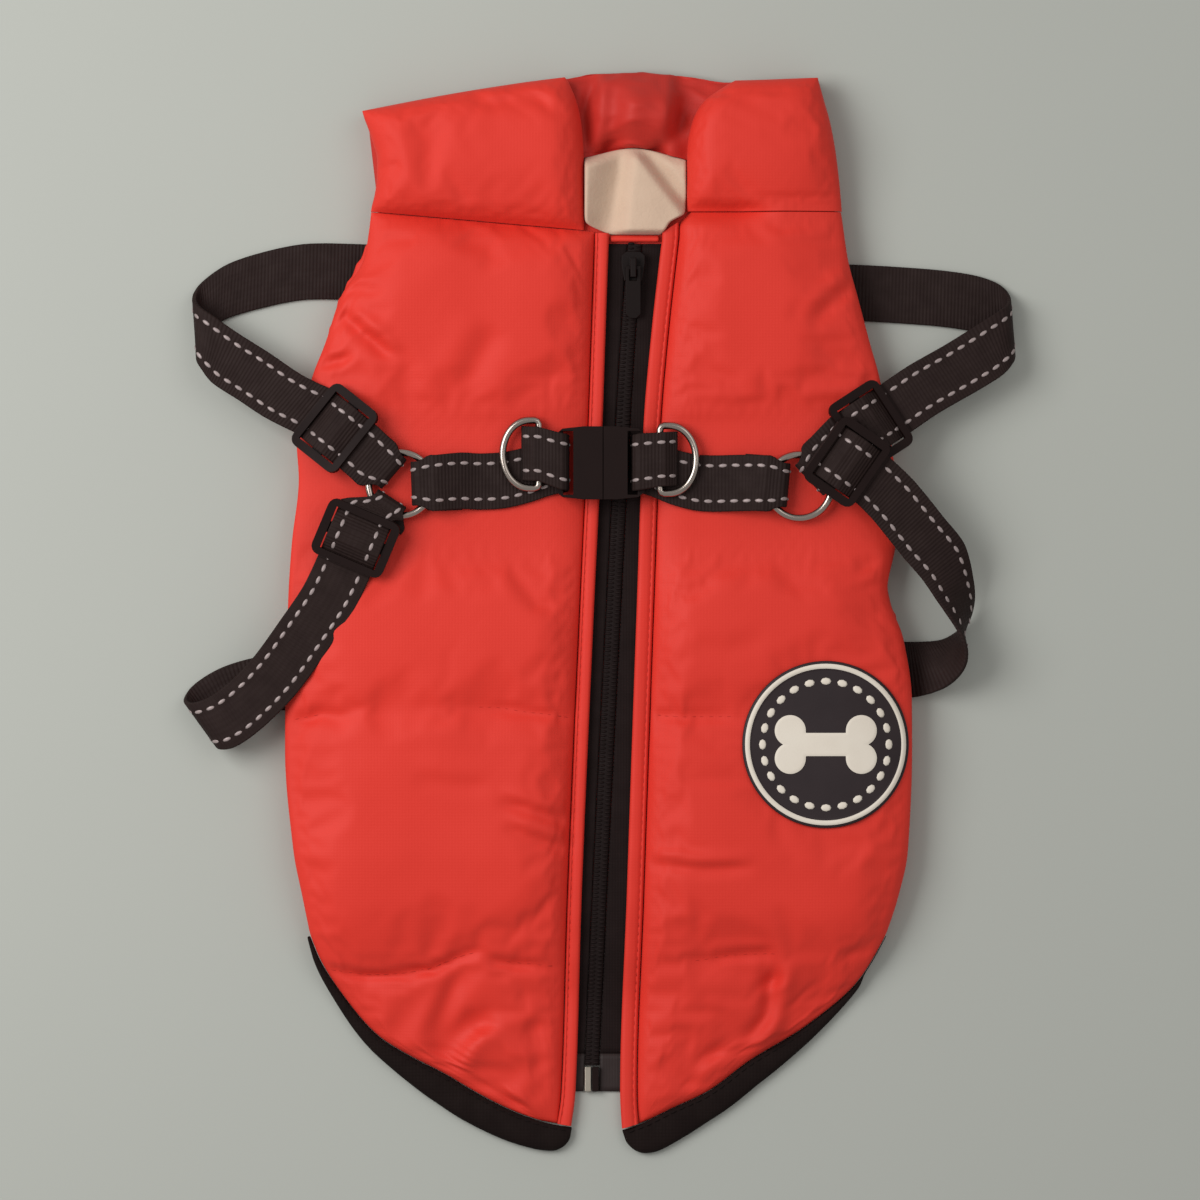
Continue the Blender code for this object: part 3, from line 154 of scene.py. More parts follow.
# Fullness of the zip-side panels: y at the side, padding height over the layer below
PANEL_ROWS: Table = (
    (142.9, 2.6), (140.5, 5.5), (136, 8), (128, 9.2), (116, 9.5), (102, 9),
    (90, 8), (80, 7.3), (73.5, 6.5), (66, 5.7), (47, 5.7), (28, 5.7), (20.5, 6.5),
    (12, 7.8), (2, 8.8), (-12, 9.3), (-24, 8.8), (-30, 7.6), (-34, 6.6),
    (-38, 7.6), (-46, 8.9), (-60, 9.4), (-74, 9.4), (-85, 9.3), (-94, 9.1),
    (-106, 8.8), (-114, 8.2), (-119, 6.8), (-122.7, 5.2), (-127, 6.8), (-133, 8),
    (-141, 8.4), (-149, 8.2), (-156, 7.8), (-162, 7.2), (-167.5, 6.6), (-172, 6),
    (-175.6, 5.2), (-178.4, 4.2), (-180.3, 3),
)
# Height of the table or the belly layer under the zip side: y, z
DECK_ROWS: Table = (
    (-86, 8.3), (-106, 6.9), (-117, 5), (-122, 4.2), (-128, 2.4), (-136, 0.4),
    (-141, 0),
)
# Seam between the far collar and the belly layer, and the collar's upper edge: x, y
NECK_SEAM: Table = (
    (-84, 147), (-50, 152), (-25, 157.5), (-5, 162), (12, 165.4),
    (31, 161.2), (55, 155), (88, 148),
)
COLLAR_TOP: Table = (
    (-85, 178.6), (-50.8, 185.1), (-25.9, 189), (-12, 190.8), (0, 192.6),
    (14, 192.9), (31.6, 191.6), (46, 189.6), (78, 190.6),
)
FAR_COLLAR_TOP = (-82.6, 76.4)
# Collar wings: share of the height from seam to upper edge, inner x, outer x, padding height
WING_LEFT: Table = (
    (0.00, -5.3, -81, 3.2), (0.06, -5.3, -80.6, 7), (0.16, -5.3, -79.7, 9.8),
    (0.32, -5.3, -78.9, 11), (0.50, -5.4, -78.8, 11.4), (0.68, -6.2, -80.4, 11.2),
    (0.82, -7.8, -82, 10.2), (0.92, -9.8, -83.3, 8.2), (0.98, -11.3, -83.9, 5),
    (1.00, -12.2, -84.1, 2.6),
)
WING_RIGHT: Table = (
    (0.00, 31.4, 86.2, 3.2), (0.06, 31.3, 86, 7), (0.16, 31.2, 85.6, 9.8),
    (0.32, 31.2, 84.8, 11), (0.50, 31.5, 83.6, 11.4), (0.68, 33.4, 81.9, 11.2),
    (0.82, 37.2, 80, 10.2), (0.92, 42.4, 78.7, 8.2), (0.98, 46.6, 77.9, 5),
    (1.00, 48.4, 77.7, 2.6),
)
SEAM_LEFT: Table = ((-1.6, 135.9), (-81.0, 142.9))
SEAM_RIGHT: Table = ((31.0, 142.9), (86.0, 142.9))
RING_LEFT = (-70.3, 46.2)
RING_RIGHT = (71.0, 45.4)
# Webbing folded through a ring: heading, distance of the fold, tail, half widths right and left
FOLD_UPPER_LEFT = (139.0, 4.6, 15.0, 8.0, 5.7)
FOLD_LOWER_LEFT = (237.0, 6.5, 15.0, 5.6, 6.3)
FOLD_UPPER_RIGHT = (43.0, 4.6, 17.0, 8.2, 6.6)
FOLD_CHEST_LEFT = (2.0, 4.6, 21.5, 7.8, 7.8)
FOLD_CHEST_RIGHT = (175.0, 4.6, 20.0, 7.8, 7.8)
# Slider: centre x, y, z of its underside, heading of the webbing in degrees, fall per mm
SLIDERS: dict[str, Row] = {
    "upper_left": (-93.2, 65.7, 17.6, 141.5, 0.26),
    "lower_left": (-86.0, 27.2, 19.2, 247.0, 0.12),
    "upper_right": (95.9, 67.0, 16.9, 33.0, 0.24),
    "lower_right": (87.6, 54.0, 22.9, -34.8, 0.04),
}
# Free runs of the four harness loops, from the slider to the end under the belly layer:
# edge a x, y, z, edge b x, y, z
LOOPS: dict[str, Table] = {
    "upper_left": (
        (-105.4, 85, 14.4, -118.4, 69.8, 14.2), (-116.6, 92.6, 13.4, -127.8, 76, 13.2),
        (-128, 99.8, 12.6, -136.8, 81.8, 12.6), (-137.2, 106.2, 12.2, -140.6, 86.4, 12.2),
        (-142.2, 109.6, 10.4, -142.2, 89.5, 10.4), (-143.9, 112.4, 6.6, -142.2, 92.4, 6.6),
        (-143.2, 115.6, 2.8, -141, 95.8, 2.8), (-140.4, 119.2, 1, -138.4, 99.4, 1),
        (-132.1, 124.8, 0.8, -133.5, 104.8, 0.8), (-119.6, 129, 0.8, -120.2, 109, 0.8),
        (-105.1, 131.9, 0.8, -105.6, 111.9, 0.8), (-90.2, 132, 0.8, -90.8, 112, 0.8),
        (-77.9, 131.5, 0.8, -78.6, 111.5, 0.8),
    ),
    "upper_right": (
        (110, 88.4, 14, 120.8, 71.6, 13.8), (122, 95.2, 13.2, 133.4, 78.8, 13),
        (133.6, 102.4, 12.6, 143, 84.8, 12.6), (143, 108.4, 10.6, 146.4, 88.7, 10.6),
        (145.6, 111.4, 6.6, 147.3, 91.5, 6.6), (145, 114.6, 2.6, 146.7, 94.7, 2.6),
        (142, 117.8, 1, 143.4, 97.8, 1), (134.2, 120.6, 0.8, 133.6, 100.6, 0.8),
        (122.8, 122.4, 0.8, 122.2, 102.4, 0.8), (111.1, 123.4, 0.8, 110.4, 103.4, 0.8),
        (96.4, 124.3, 0.8, 95.8, 104.3, 0.8), (79, 125, 0.8, 78.4, 105, 0.8),
    ),
    "lower_left": (
        (-104.6, 10.2, 18, -86.6, 1.6, 18.2), (-112.6, -1.6, 17.4, -95.4, -11.8, 17.6),
        (-122.2, -14.8, 15.4, -106.8, -27.6, 15.4), (-131, -24, 13.4, -118.8, -39.8, 13.4),
        (-138.8, -29.6, 12.4, -128.2, -46.6, 12.4), (-144.8, -31.4, 10.6, -133.4, -47.8, 10.6),
        (-147.2, -30.4, 6.6, -135.4, -46.6, 6.6), (-146.4, -27.6, 2.6, -134.6, -43.8, 2.6),
        (-143, -24, 1, -132.4, -41, 1), (-134.6, -19, 0.8, -127, -37.5, 0.8),
        (-122.8, -15.4, 0.8, -119.6, -35.1, 0.8), (-109.7, -14, 0.8, -109.4, -34, 0.8),
        (-97.2, -13.8, 0.8, -97, -33.8, 0.8),
    ),
    "lower_right": (
        (97.2, 33.2, 20.6, 111.4, 47.4, 21), (107.4, 20.6, 18.4, 122.4, 34, 18.2),
        (114.4, 12.6, 18, 129.6, 24.8, 14), (119.6, 5.2, 18.6, 132.6, 13.2, 9),
        (124, -0.8, 19.2, 133.2, 4.6, 4), (128, -7, 19.4, 131, -2.8, 1.4),
        (130.2, -13.2, 18.2, 126.4, -7.2, 1), (129, -19.6, 15.6, 121.6, -9.3, 0.8),
        (123.4, -25.6, 10.4, 116.2, -9.7, 0.8), (114.6, -29, 3.6, 111.6, -9.8, 0.8),
        (107, -29.7, 0.8, 106.6, -9.8, 0.8), (88, -30.2, 0.8, 87.8, -10.2, 0.8),
    ),
}
CHEST_LEFT: Table = ((-49, 47.4), (-42, 47.1), (-33, 47.7), (-24, 49.9), (-18.5, 51.8))
CHEST_RIGHT: Table = ((50, 46.6), (40, 46.4), (33, 47), (25, 49.2), (19.5, 51.5))
D_RING_LEFT = (-21.3, 56.8)
D_RING_RIGHT = (21.6, 54.9)


# ---------------- finishes
class Coordinates(Enum):
    """What a finish's pattern follows."""

    OBJECT = "Object"
    UV = "UV"


def linear(colour: str) -> tuple[float, float, float, float]:
    """Linear colour of an sRGB hex value.

    Args:
        colour: six hex digits after a hash sign.

    Returns:
        Red, green, blue and alpha for a shader socket.
    """
    parts = [int(colour[i:i + 2], 16) / 255 for i in (1, 3, 5)]
    values = [p / 12.92 if p <= 0.04045 else ((p + 0.055) / 1.055) ** 2.4 for p in parts]
    return values[0], values[1], values[2], 1.0


def add_node(tree: bpy.types.NodeTree, kind: str, settings: dict | None = None,
             links: dict | None = None) -> bpy.types.Node:
    """Add a node with its settings and links.

    Args:
        tree: the node tree.
        kind: the node's type name.
        settings: values by property name, or by input name or number.
        links: source sockets by input name or number.

    Returns:
        The new node.
    """
    made = tree.nodes.new(kind)
    for key, value in (settings or {}).items():
        if isinstance(key, str) and hasattr(made, key):
            setattr(made, key, value)
        else:
            made.inputs[key].default_value = value
    for key, source in (links or {}).items():
        tree.links.new(source, made.inputs[key])
    return made


@dataclass(frozen=True)
class Threads:
    """One set of parallel threads or ribs, by pitch and relief in millimetres."""

    direction: str
    pitch: float
    relief: float


@dataclass(frozen=True)
class Finish:
    """A surface as its maker would name it, with patterns in real millimetres.

    The slot is the record's name for it, or empty where the record has none.
    """

    name: str
    slot: str
    colour: str
    shade: str
    roughness: float
    metallic: float = 0.0
    sheen: float = 0.0
    specular: float = 0.5
    follows: Coordinates = Coordinates.OBJECT
    mottle: float = 30.0
    threads: tuple[Threads, ...] = ()
    crinkle: tuple[float, float] = (0.0, 0.0)
    grain: tuple[float, float] = (0.0, 0.0)

    def mark(self, piece: bpy.types.Object) -> None:
        """Does nothing with the piece: no finish is noted on it."""

    def material(self) -> bpy.types.Material:
        """The finish as a material, made once."""
        made = bpy.data.materials.get(self.name)
        if made:
            return made
        made = bpy.data.materials.new(self.name)
        made.use_nodes = True
        tree = made.node_tree
        shader = tree.nodes["Principled BSDF"]
        for socket, value in (("Metallic", self.metallic), ("Sheen Weight", self.sheen),
                              ("Specular IOR Level", self.specular), ("Sheen Roughness", 0.4)):
            shader.inputs[socket].default_value = value
        place = add_node(tree, "ShaderNodeTexCoord").outputs[self.follows.value]
        cloud = add_node(tree, "ShaderNodeTexNoise",
                         {"Scale": 1.0 / (self.mottle * MM), "Detail": 3.0}, {"Vector": place})
        colour = add_node(tree, "ShaderNodeMix", {"data_type": "RGBA", 6: linear(self.colour),
                                                  7: linear(self.shade)},
                          {0: cloud.outputs["Fac"]})
        tree.links.new(colour.outputs[2], shader.inputs["Base Color"])
        spread = add_node(tree, "ShaderNodeMapRange",
                          {"From Min": 0.3, "From Max": 0.7, "To Min": self.roughness - 0.05,
                           "To Max": self.roughness + 0.05}, {"Value": cloud.outputs["Fac"]})
        tree.links.new(spread.outputs["Result"], shader.inputs["Roughness"])
        normal = self._relief(tree, place)
        if normal is not None:
            tree.links.new(normal, shader.inputs["Normal"])
        return made

    def _relief(self, tree: bpy.types.NodeTree,
                place: bpy.types.NodeSocket) -> bpy.types.NodeSocket | None:
        """Chain the finish's bumps.

        Args:
            tree: the material's node tree.
            place: the coordinates that the pattern follows.

        Returns:
            The last normal, or None for a plain surface.
        """
        heights = []
        for thread in self.threads:
            wave = add_node(tree, "ShaderNodeTexWave",
                            {"bands_direction": thread.direction,
                             "Scale": math.pi / 10 / (thread.pitch * MM),
                             "Distortion": 0.4, "Detail": 1.0}, {"Vector": place})
            heights.append((wave.outputs["Fac"], thread.relief))
        for (size, relief), detail in ((self.crinkle, 2.0), (self.grain, 1.0)):
            if relief:
                cloud = add_node(tree, "ShaderNodeTexNoise",
                                 {"Scale": 1.0 / (size * MM), "Detail": detail,
                                  "Distortion": 0.6}, {"Vector": place})
                heights.append((cloud.outputs["Fac"], relief))
        normal = None
        for height, relief in heights:
            links = {"Height": height}
            if normal is not None:
                links["Normal"] = normal
            bump = add_node(tree, "ShaderNodeBump",
                            {"Strength": 1.0, "Distance": relief * MM}, links)
            normal = bump.outputs["Normal"]
        return normal


# Nylon taffeta over wadding: a clear red with a soft lustre. Its 0.2 mm threads are drawn at
# 1.1 mm, the finest that shows, and the crinkle is the cloth's own between the seams.
TAFFETA = Finish("nylon_taffeta_red", "red_cloth", "#DA3325", "#CC2D20", 0.62, sheen=0.03,
                 specular=0.28, mottle=55.0, crinkle=(13.0, 0.14),
                 threads=(Threads("X", 1.1, 0.012), Threads("Y", 1.1, 0.012)))
# The same red cloth on the collar's facing, coloured darker as painted shade where it is turned
# away from the light.
TAFFETA_PAINTED_SHADE = replace(TAFFETA, name="nylon_taffeta_painted_shade", slot="dark_red_cloth", colour="#C22D23",
                 shade="#B0261D", mottle=30.0, crinkle=(10.0, 0.14))
# Brushed polyester fleece: matt cream with a short nap.
FLEECE = Finish("brushed_fleece_cream", "cream_lining", "#D0B59E", "#C0A58F", 0.92, sheen=0.15,
                specular=0.15, mottle=14.0, crinkle=(1.6, 0.14), grain=(0.8, 0.06))
# Woven polypropylene webbing: dull black with ribs across it.
WEBBING = Finish("ribbed_webbing_black", "black_webbing", "#271916", "#1D110F", 0.74,
                 sheen=0.01, specular=0.18, follows=Coordinates.UV, mottle=6.0,
                 threads=(Threads("Y", 1.25, 0.13), Threads("X", 2.2, 0.04)),
                 grain=(0.7, 0.05))
# Glass-bead yarn: pale grey stitches that catch the light.
REFLECTIVE = Finish("reflective_yarn_grey", "", "#A3938F", "#857878", 0.45, metallic=0.15,
                    mottle=3.0)
# Woven polyester tape of the zip, a fine herringbone drawn as ribs.
ZIP_TAPE = Finish("woven_zip_tape_black", "black_tape", "#211615", "#18100F", 0.85,
                  specular=0.12, mottle=8.0,
                  threads=(Threads("X", 1.0, 0.05), Threads("Y", 1.1, 0.03)))
# The tape's lower end, fused stiff and a little glossier.
ZIP_TAPE_END = Finish("fused_tape_end_charcoal", "black_tape", "#2F2422", "#261C1B", 0.60,
                      specular=0.25, mottle=6.0, threads=(Threads("X", 1.0, 0.03),))
# Folded grosgrain binding, black with a ribbed edge.
BINDING = Finish("grosgrain_binding_black", "black_binding", "#190E0B", "#120908", 0.84,
                 sheen=0.01, specular=0.14, mottle=8.0, crinkle=(5.0, 0.15),
                 threads=(Threads("X", 1.2, 0.05), Threads("Y", 1.2, 0.05)))
# Spun polyester thread: matt, a shade darker than the red cloth, and black on the bindings.
THREAD_RED = Finish("spun_thread_red", "red_cloth", "#B5281E", "#A62219", 0.7, specular=0.2,
                    mottle=2.0)
THREAD_BLACK = Finish("spun_thread_black", "black_binding", "#1D1514", "#15100F", 0.85,
                      specular=0.1, mottle=2.0)
# Injection-moulded acetal: near black, satin, with a fine spark-eroded grain; its red-brown tint
# is a painted reflection of red light bounced from the cloth.
ACETAL_RED_BOUNCE = Finish("moulded_acetal_black_red_bounce", "black_plastic", "#1B0C09", "#140807", 0.58,
                specular=0.12, mottle=20.0, grain=(0.9, 0.02))
# Nylon monofilament coil: black, less glossy than the mouldings.
NYLON_COIL = Finish("nylon_coil_black", "black_plastic", "#1E1413", "#170F0E", 0.70,
                    specular=0.12, mottle=5.0)
# Die-cast zinc under black enamel, smooth with a slight flow.
ENAMEL = Finish("black_enamelled_zinc", "black_plastic", "#180E0C", "#120A09", 0.55,
                specular=0.14, mottle=10.0, grain=(1.5, 0.02))
# Nickel-plated steel wire, bright with faint handling marks.
NICKEL = Finish("nickel_plated_steel", "steel", "#ADA299", "#9A8F86", 0.22, metallic=1.0,
                mottle=4.0, grain=(1.2, 0.012))
# Tinned brass of the zip's pin, paler and duller than the rings.
TIN = Finish("tinned_brass_pin", "steel", "#C9BFB0", "#B5AA9C", 0.34, metallic=1.0, mottle=4.0)
# Soft PVC badge, black with cream-white raised parts.
BADGE_BLACK = Finish("soft_pvc_black", "badge_black", "#2A1E20", "#22181A", 0.60,
                     specular=0.3, mottle=12.0, grain=(0.8, 0.03))
BADGE_WHITE = Finish("soft_pvc_white", "", "#DFD6C8", "#D4C9BA", 0.55, specular=0.3,
                     mottle=10.0, grain=(0.8, 0.02))
# Matt painted board under the coat.
TABLE_TOP = Finish("painted_table_pale_grey", "", "#AEB0A8", "#A9ABA5", 0.75, specular=0.2,
                   mottle=400.0)


# ---------------- curves and tables
def hermite(table: Table, key: float, column: int) -> float:
    """Smooth value of a table's column, without overshoot.

    Args:
        table: rows whose first number is the key.
        key: where to read the table.
        column: which number of the row to read.

    Returns:
        The value at the key.
    """
    rows = sorted(table)
    if key <= rows[0][0]:
        return rows[0][column]
    if key >= rows[-1][0]:
        return rows[-1][column]
    i = max(k for k in range(len(rows) - 1) if rows[k][0] <= key)

    def rate(k: int) -> float:
        """Slope of the column between row k and the next."""
        return (rows[k + 1][column] - rows[k][column]) / (rows[k + 1][0] - rows[k][0])

    def slope(k: int) -> float:
        """Slope of the column at row k."""
        if k == 0 or k == len(rows) - 1:
            return rate(min(k, len(rows) - 2))
        before, after = rate(k - 1), rate(k)
        return 0.0 if before * after <= 0 else 2 * before * after / (before + after)

    step = rows[i + 1][0] - rows[i][0]
    t = (key - rows[i][0]) / step
    a, b = rows[i][column], rows[i + 1][column]
    return ((1 + 2 * t) * (1 - t) ** 2 * a + t * (1 - t) ** 2 * step * slope(i)
            + t * t * (3 - 2 * t) * b + t * t * (t - 1) * step * slope(i + 1))


def catmull(rows: list[Row], pieces: int) -> list[Row]:
    """Smooth rows through given rows.

    Args:
        rows: the rows to pass through.
        pieces: how many steps each stretch is cut into.

    Returns:
        The finer rows, both ends included.
    """
    result: list[Row] = []
    for i in range(len(rows) - 1):
        p0, p1, p2 = rows[max(i - 1, 0)], rows[i], rows[i + 1]
        p3 = rows[min(i + 2, len(rows) - 1)]
        for k in range(pieces):
            t = k / pieces
            result.append(tuple(
                0.5 * (2 * b + (c - a) * t + (2 * a - 5 * b + 4 * c - d) * t * t
                       + (3 * b - a - 3 * c + d) * t ** 3)
                for a, b, c, d in zip(p0, p1, p2, p3)))
    result.append(tuple(rows[-1]))
    return result


def deck(y: float) -> float:
    """Height of what the zip side lies on."""
    return max(0.0, hermite(DECK_ROWS, y, 1))


def outer_x(y: float, side: int) -> float:
    """Sewn edge of a zip-side panel: the side seam, then the hem."""
    hem = HEM_LEFT if side == 1 else HEM_RIGHT
    return hermite(BODY_SIDES, y, side) if y >= hem[0][0] else hermite(hem, y, 1)


def inner_x(y: float, side: int) -> float:
    """Edge of a zip-side panel beside its placket strip."""
    width = PLACKET_WIDTH[side] + GAP
    return hermite(ZIP_EDGES, y, side) + (-width if side == 1 else width)


def zip_middle(y: float) -> float:
    """Middle line of the coil, which lies nearer to the left tape towards the tails."""
    drift = COIL_DRIFT * min(max((60.0 - y) / 220.0, 0.0), 1.0)
    return (hermite(ZIP_EDGES, y, 1) + hermite(ZIP_EDGES, y, 2)) / 2 - drift


def rounding(distance: float, reach: float) -> float:
    """Quarter-round rise of padding from its sewn edge."""
    u = min(max(distance / reach, 0.0), 1.0)
    return math.sqrt(1 - (1 - u) ** 2)


def seam_drop(y: float, side: int) -> float:
    """How far the inner end of a panel's row lies below its outer end, near the collar."""
    share = min(max((y - 96.0) / 46.9, 0.0), 1.0)
    return 7.0 * share * share if side == 1 else 0.0


def tail_drop(y: float) -> float:
    """How far the inner end of a panel's row lies below its outer end, at the tail."""
    return 1.1 * smooth_step(-y, 168.0, 180.3)


def steps(start: float, end: float, count: int) -> list[float]:
    """Even steps from a start to an end, both included."""
    return [start + (end - start) * i / (count - 1) for i in range(count)]


def round_points(x: float, y: float, half: Row, count: int) -> list[tuple[float, float]]:
    """Points round a circle or an ellipse of given half widths."""
    angles = [math.tau * k / count for k in range(count)]
    return [(x + half[0] * math.cos(a), y + half[1] * math.sin(a)) for a in angles]


def spaced(count: int) -> list[float]:
    """Shares from 0 to 1 that crowd towards both ends."""
    return [0.5 - 0.5 * math.cos(math.pi * k / (count - 1)) for k in range(count)]


def smooth_step(value: float, low: float, high: float) -> float:
    """Share from 0 at the low value to 1 at the high one, level at both."""
    t = min(max((value - low) / (high - low), 0.0), 1.0)
    return t * t * (3 - 2 * t)


def waviness(x: float, y: float, size: float, seed: float) -> float:
    """Smooth noise from -1 to 1 whose features are about a size apart."""
    return noise.noise(Vector((x / size, y / size, seed)))


# ---------------- meshes
def placed_object(name: str, data: bpy.types.ID) -> bpy.types.Object:
    """Object at the origin that shows a mesh, a light or a camera."""
    made = bpy.data.objects.new(name, data)
    bpy.context.scene.collection.objects.link(made)
    return made


def mesh_object(name: str, points: list, faces: list, finish: Finish,
                smooth: float = 60.0) -> bpy.types.Object:
    """Make an object at the origin from points in millimetres.

    Args:
        name: the piece's name.
        points: its points.
        faces: indices of each face's points.
        finish: its finish.
        smooth: the angle in degrees past which an edge stays sharp.

    Returns:
        The new object, with its faces turned outwards.
    """
    mesh = bpy.data.meshes.new(name)
    mesh.from_pydata([tuple(c * MM for c in p) for p in points], [], faces)
    bm = bmesh.new()
    bm.from_mesh(mesh)
    bmesh.ops.recalc_face_normals(bm, faces=bm.faces)
    bm.to_mesh(mesh)
    bm.free()
    mesh.shade_smooth()
    if smooth < 180:
        mesh.set_sharp_from_angle(angle=math.radians(smooth))
    mesh.materials.append(finish.material())
    made = placed_object(name, mesh)
    finish.mark(made)
    return made


def grid_solid(name: str, grid: Grid, finish: Finish) -> bpy.types.Object:
    """Closed solid between an upper and a lower grid of the same shape.

    Args:
        name: the piece's name.
        grid: rows of pairs of a point of the upper side and the one below it.
        finish: its finish.

    Returns:
        The new object: its first points are the upper grid, row by row.
    """
    rows, columns = len(grid), len(grid[0])
    points = [pair[layer] for layer in (0, 1) for row in grid for pair in row]
    size = rows * columns
    faces = []
    for i in range(rows - 1):
        for j in range(columns - 1):
            a = i * columns + j
            quad = (a, a + 1, a + columns + 1, a + columns)
            faces.append(quad)
            faces.append(tuple(size + v for v in reversed(quad)))
    rim = ([*range(columns)]
           + [i * columns + columns - 1 for i in range(1, rows)]
           + [(rows - 1) * columns + j for j in range(columns - 2, -1, -1)]
           + [i * columns for i in range(rows - 2, 0, -1)])
    for a, b in zip(rim, [*rim[1:], rim[0]]):
        faces.append((b, a, size + a, size + b))
    return mesh_object(name, points, faces, finish, smooth=180.0)


def loft(name: str, sections: list, finish: Finish, closed: bool = False,
         smooth: float = 60.0) -> bpy.types.Object:
    """Closed solid through sections that all have the same number of points.

    Args:
        name: the piece's name.
        sections: lists of points.
        finish: its finish.
        closed: True where the last section joins the first.
        smooth: the angle in degrees past which an edge stays sharp.

    Returns:
        The new object.
    """
    count = len(sections[0])
    points = [p for section in sections for p in section]
    faces = []
    last = len(sections) if closed else len(sections) - 1
    for i in range(last):
        k = (i + 1) % len(sections)
        for j in range(count):
            m = (j + 1) % count
            faces.append((i * count + j, i * count + m, k * count + m, k * count + j))
    if not closed:
        faces.append(tuple(range(count)))
        faces.append(tuple(reversed(range(len(points) - count, len(points)))))
    return mesh_object(name, points, faces, finish, smooth)


def tube(name: str, path: list[Vector], radius: float, finish: Finish,
         sides: int = 14) -> bpy.types.Object:
    """Round wire along a closed path that lies level.

    Args:
        name: the piece's name.
        path: the points of its centreline.
        radius: of the wire.
        finish: its finish.
        sides: points round the wire.

    Returns:
        The new object.
    """
    up = Vector((0, 0, 1))
    sections = []
    for i, point in enumerate(path):
        tangent = (path[(i + 1) % len(path)] - path[i - 1]).normalized()
        across = tangent.cross(up).normalized()
        sections.append([point + radius * (math.cos(math.tau * k / sides) * across
                                           + math.sin(math.tau * k / sides) * up)
                         for k in range(sides)])
    return loft(name, sections, finish, closed=True, smooth=180.0)


def fit(piece: bpy.types.Object, node: str = "", body: str = "coat",
        soft: bool = False) -> None:
    """Ride a piece on its body and let it stand for its CAD node.

    Args:
        piece: the piece.
        node: the CAD node that it stands for, or empty.
        body: the body that it rides on.
        soft: True where a subdivision surface, equal at every level, rounds it first.
    """
    if soft:
        modifier = piece.modifiers.new("Subdivision", "SUBSURF")
        modifier.levels = modifier.render_levels = 1
    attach(piece, body)
    if node:
        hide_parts(node)


def evaluated(piece: bpy.types.Object) -> bpy.types.Mesh:
    """The piece's mesh with its modifiers applied."""
    graph = bpy.context.evaluated_depsgraph_get()
    graph.update()
    return bpy.data.meshes.new_from_object(piece.evaluated_get(graph))


class Surface:
    """Height of finished pieces, read from straight above."""

    def __init__(self, *pieces: bpy.types.Object) -> None:
        """Read the pieces' finished meshes."""
        self.trees = []
        for piece in pieces:
            mesh = evaluated(piece)
            points = [v.co.copy() for v in mesh.vertices]
            self.trees.append(BVHTree.FromPolygons(points, [p.vertices[:] for p in mesh.polygons]))
            bpy.data.meshes.remove(mesh)

    def height(self, x: float, y: float, fallback: float = 0.0) -> float:
        """Highest point of the pieces over a place.

        Args:
            x: the place, in millimetres.
            y: the place, in millimetres.
            fallback: the height where there is no piece.

        Returns:
            The height in millimetres.
        """
        start = Vector((x * MM, y * MM, 0.2))
        hits = [tree.ray_cast(start, Vector((0, 0, -1)))[0] for tree in self.trees]
        found = [hit.z / MM for hit in hits if hit is not None]
        return max(found) if found else fallback

    def upright(self, x: float, y: float, reach: float = 2.0) -> Vector:
        """Upward normal of the pieces round a place, smoothed over a reach."""
        east = self.height(x + reach, y) - self.height(x - reach, y)
        north = self.height(x, y + reach) - self.height(x, y - reach)
        return Vector((-east, -north, 2 * reach)).normalized()


# ---------------- what repeats along a path
REPEAT_SEED = 7


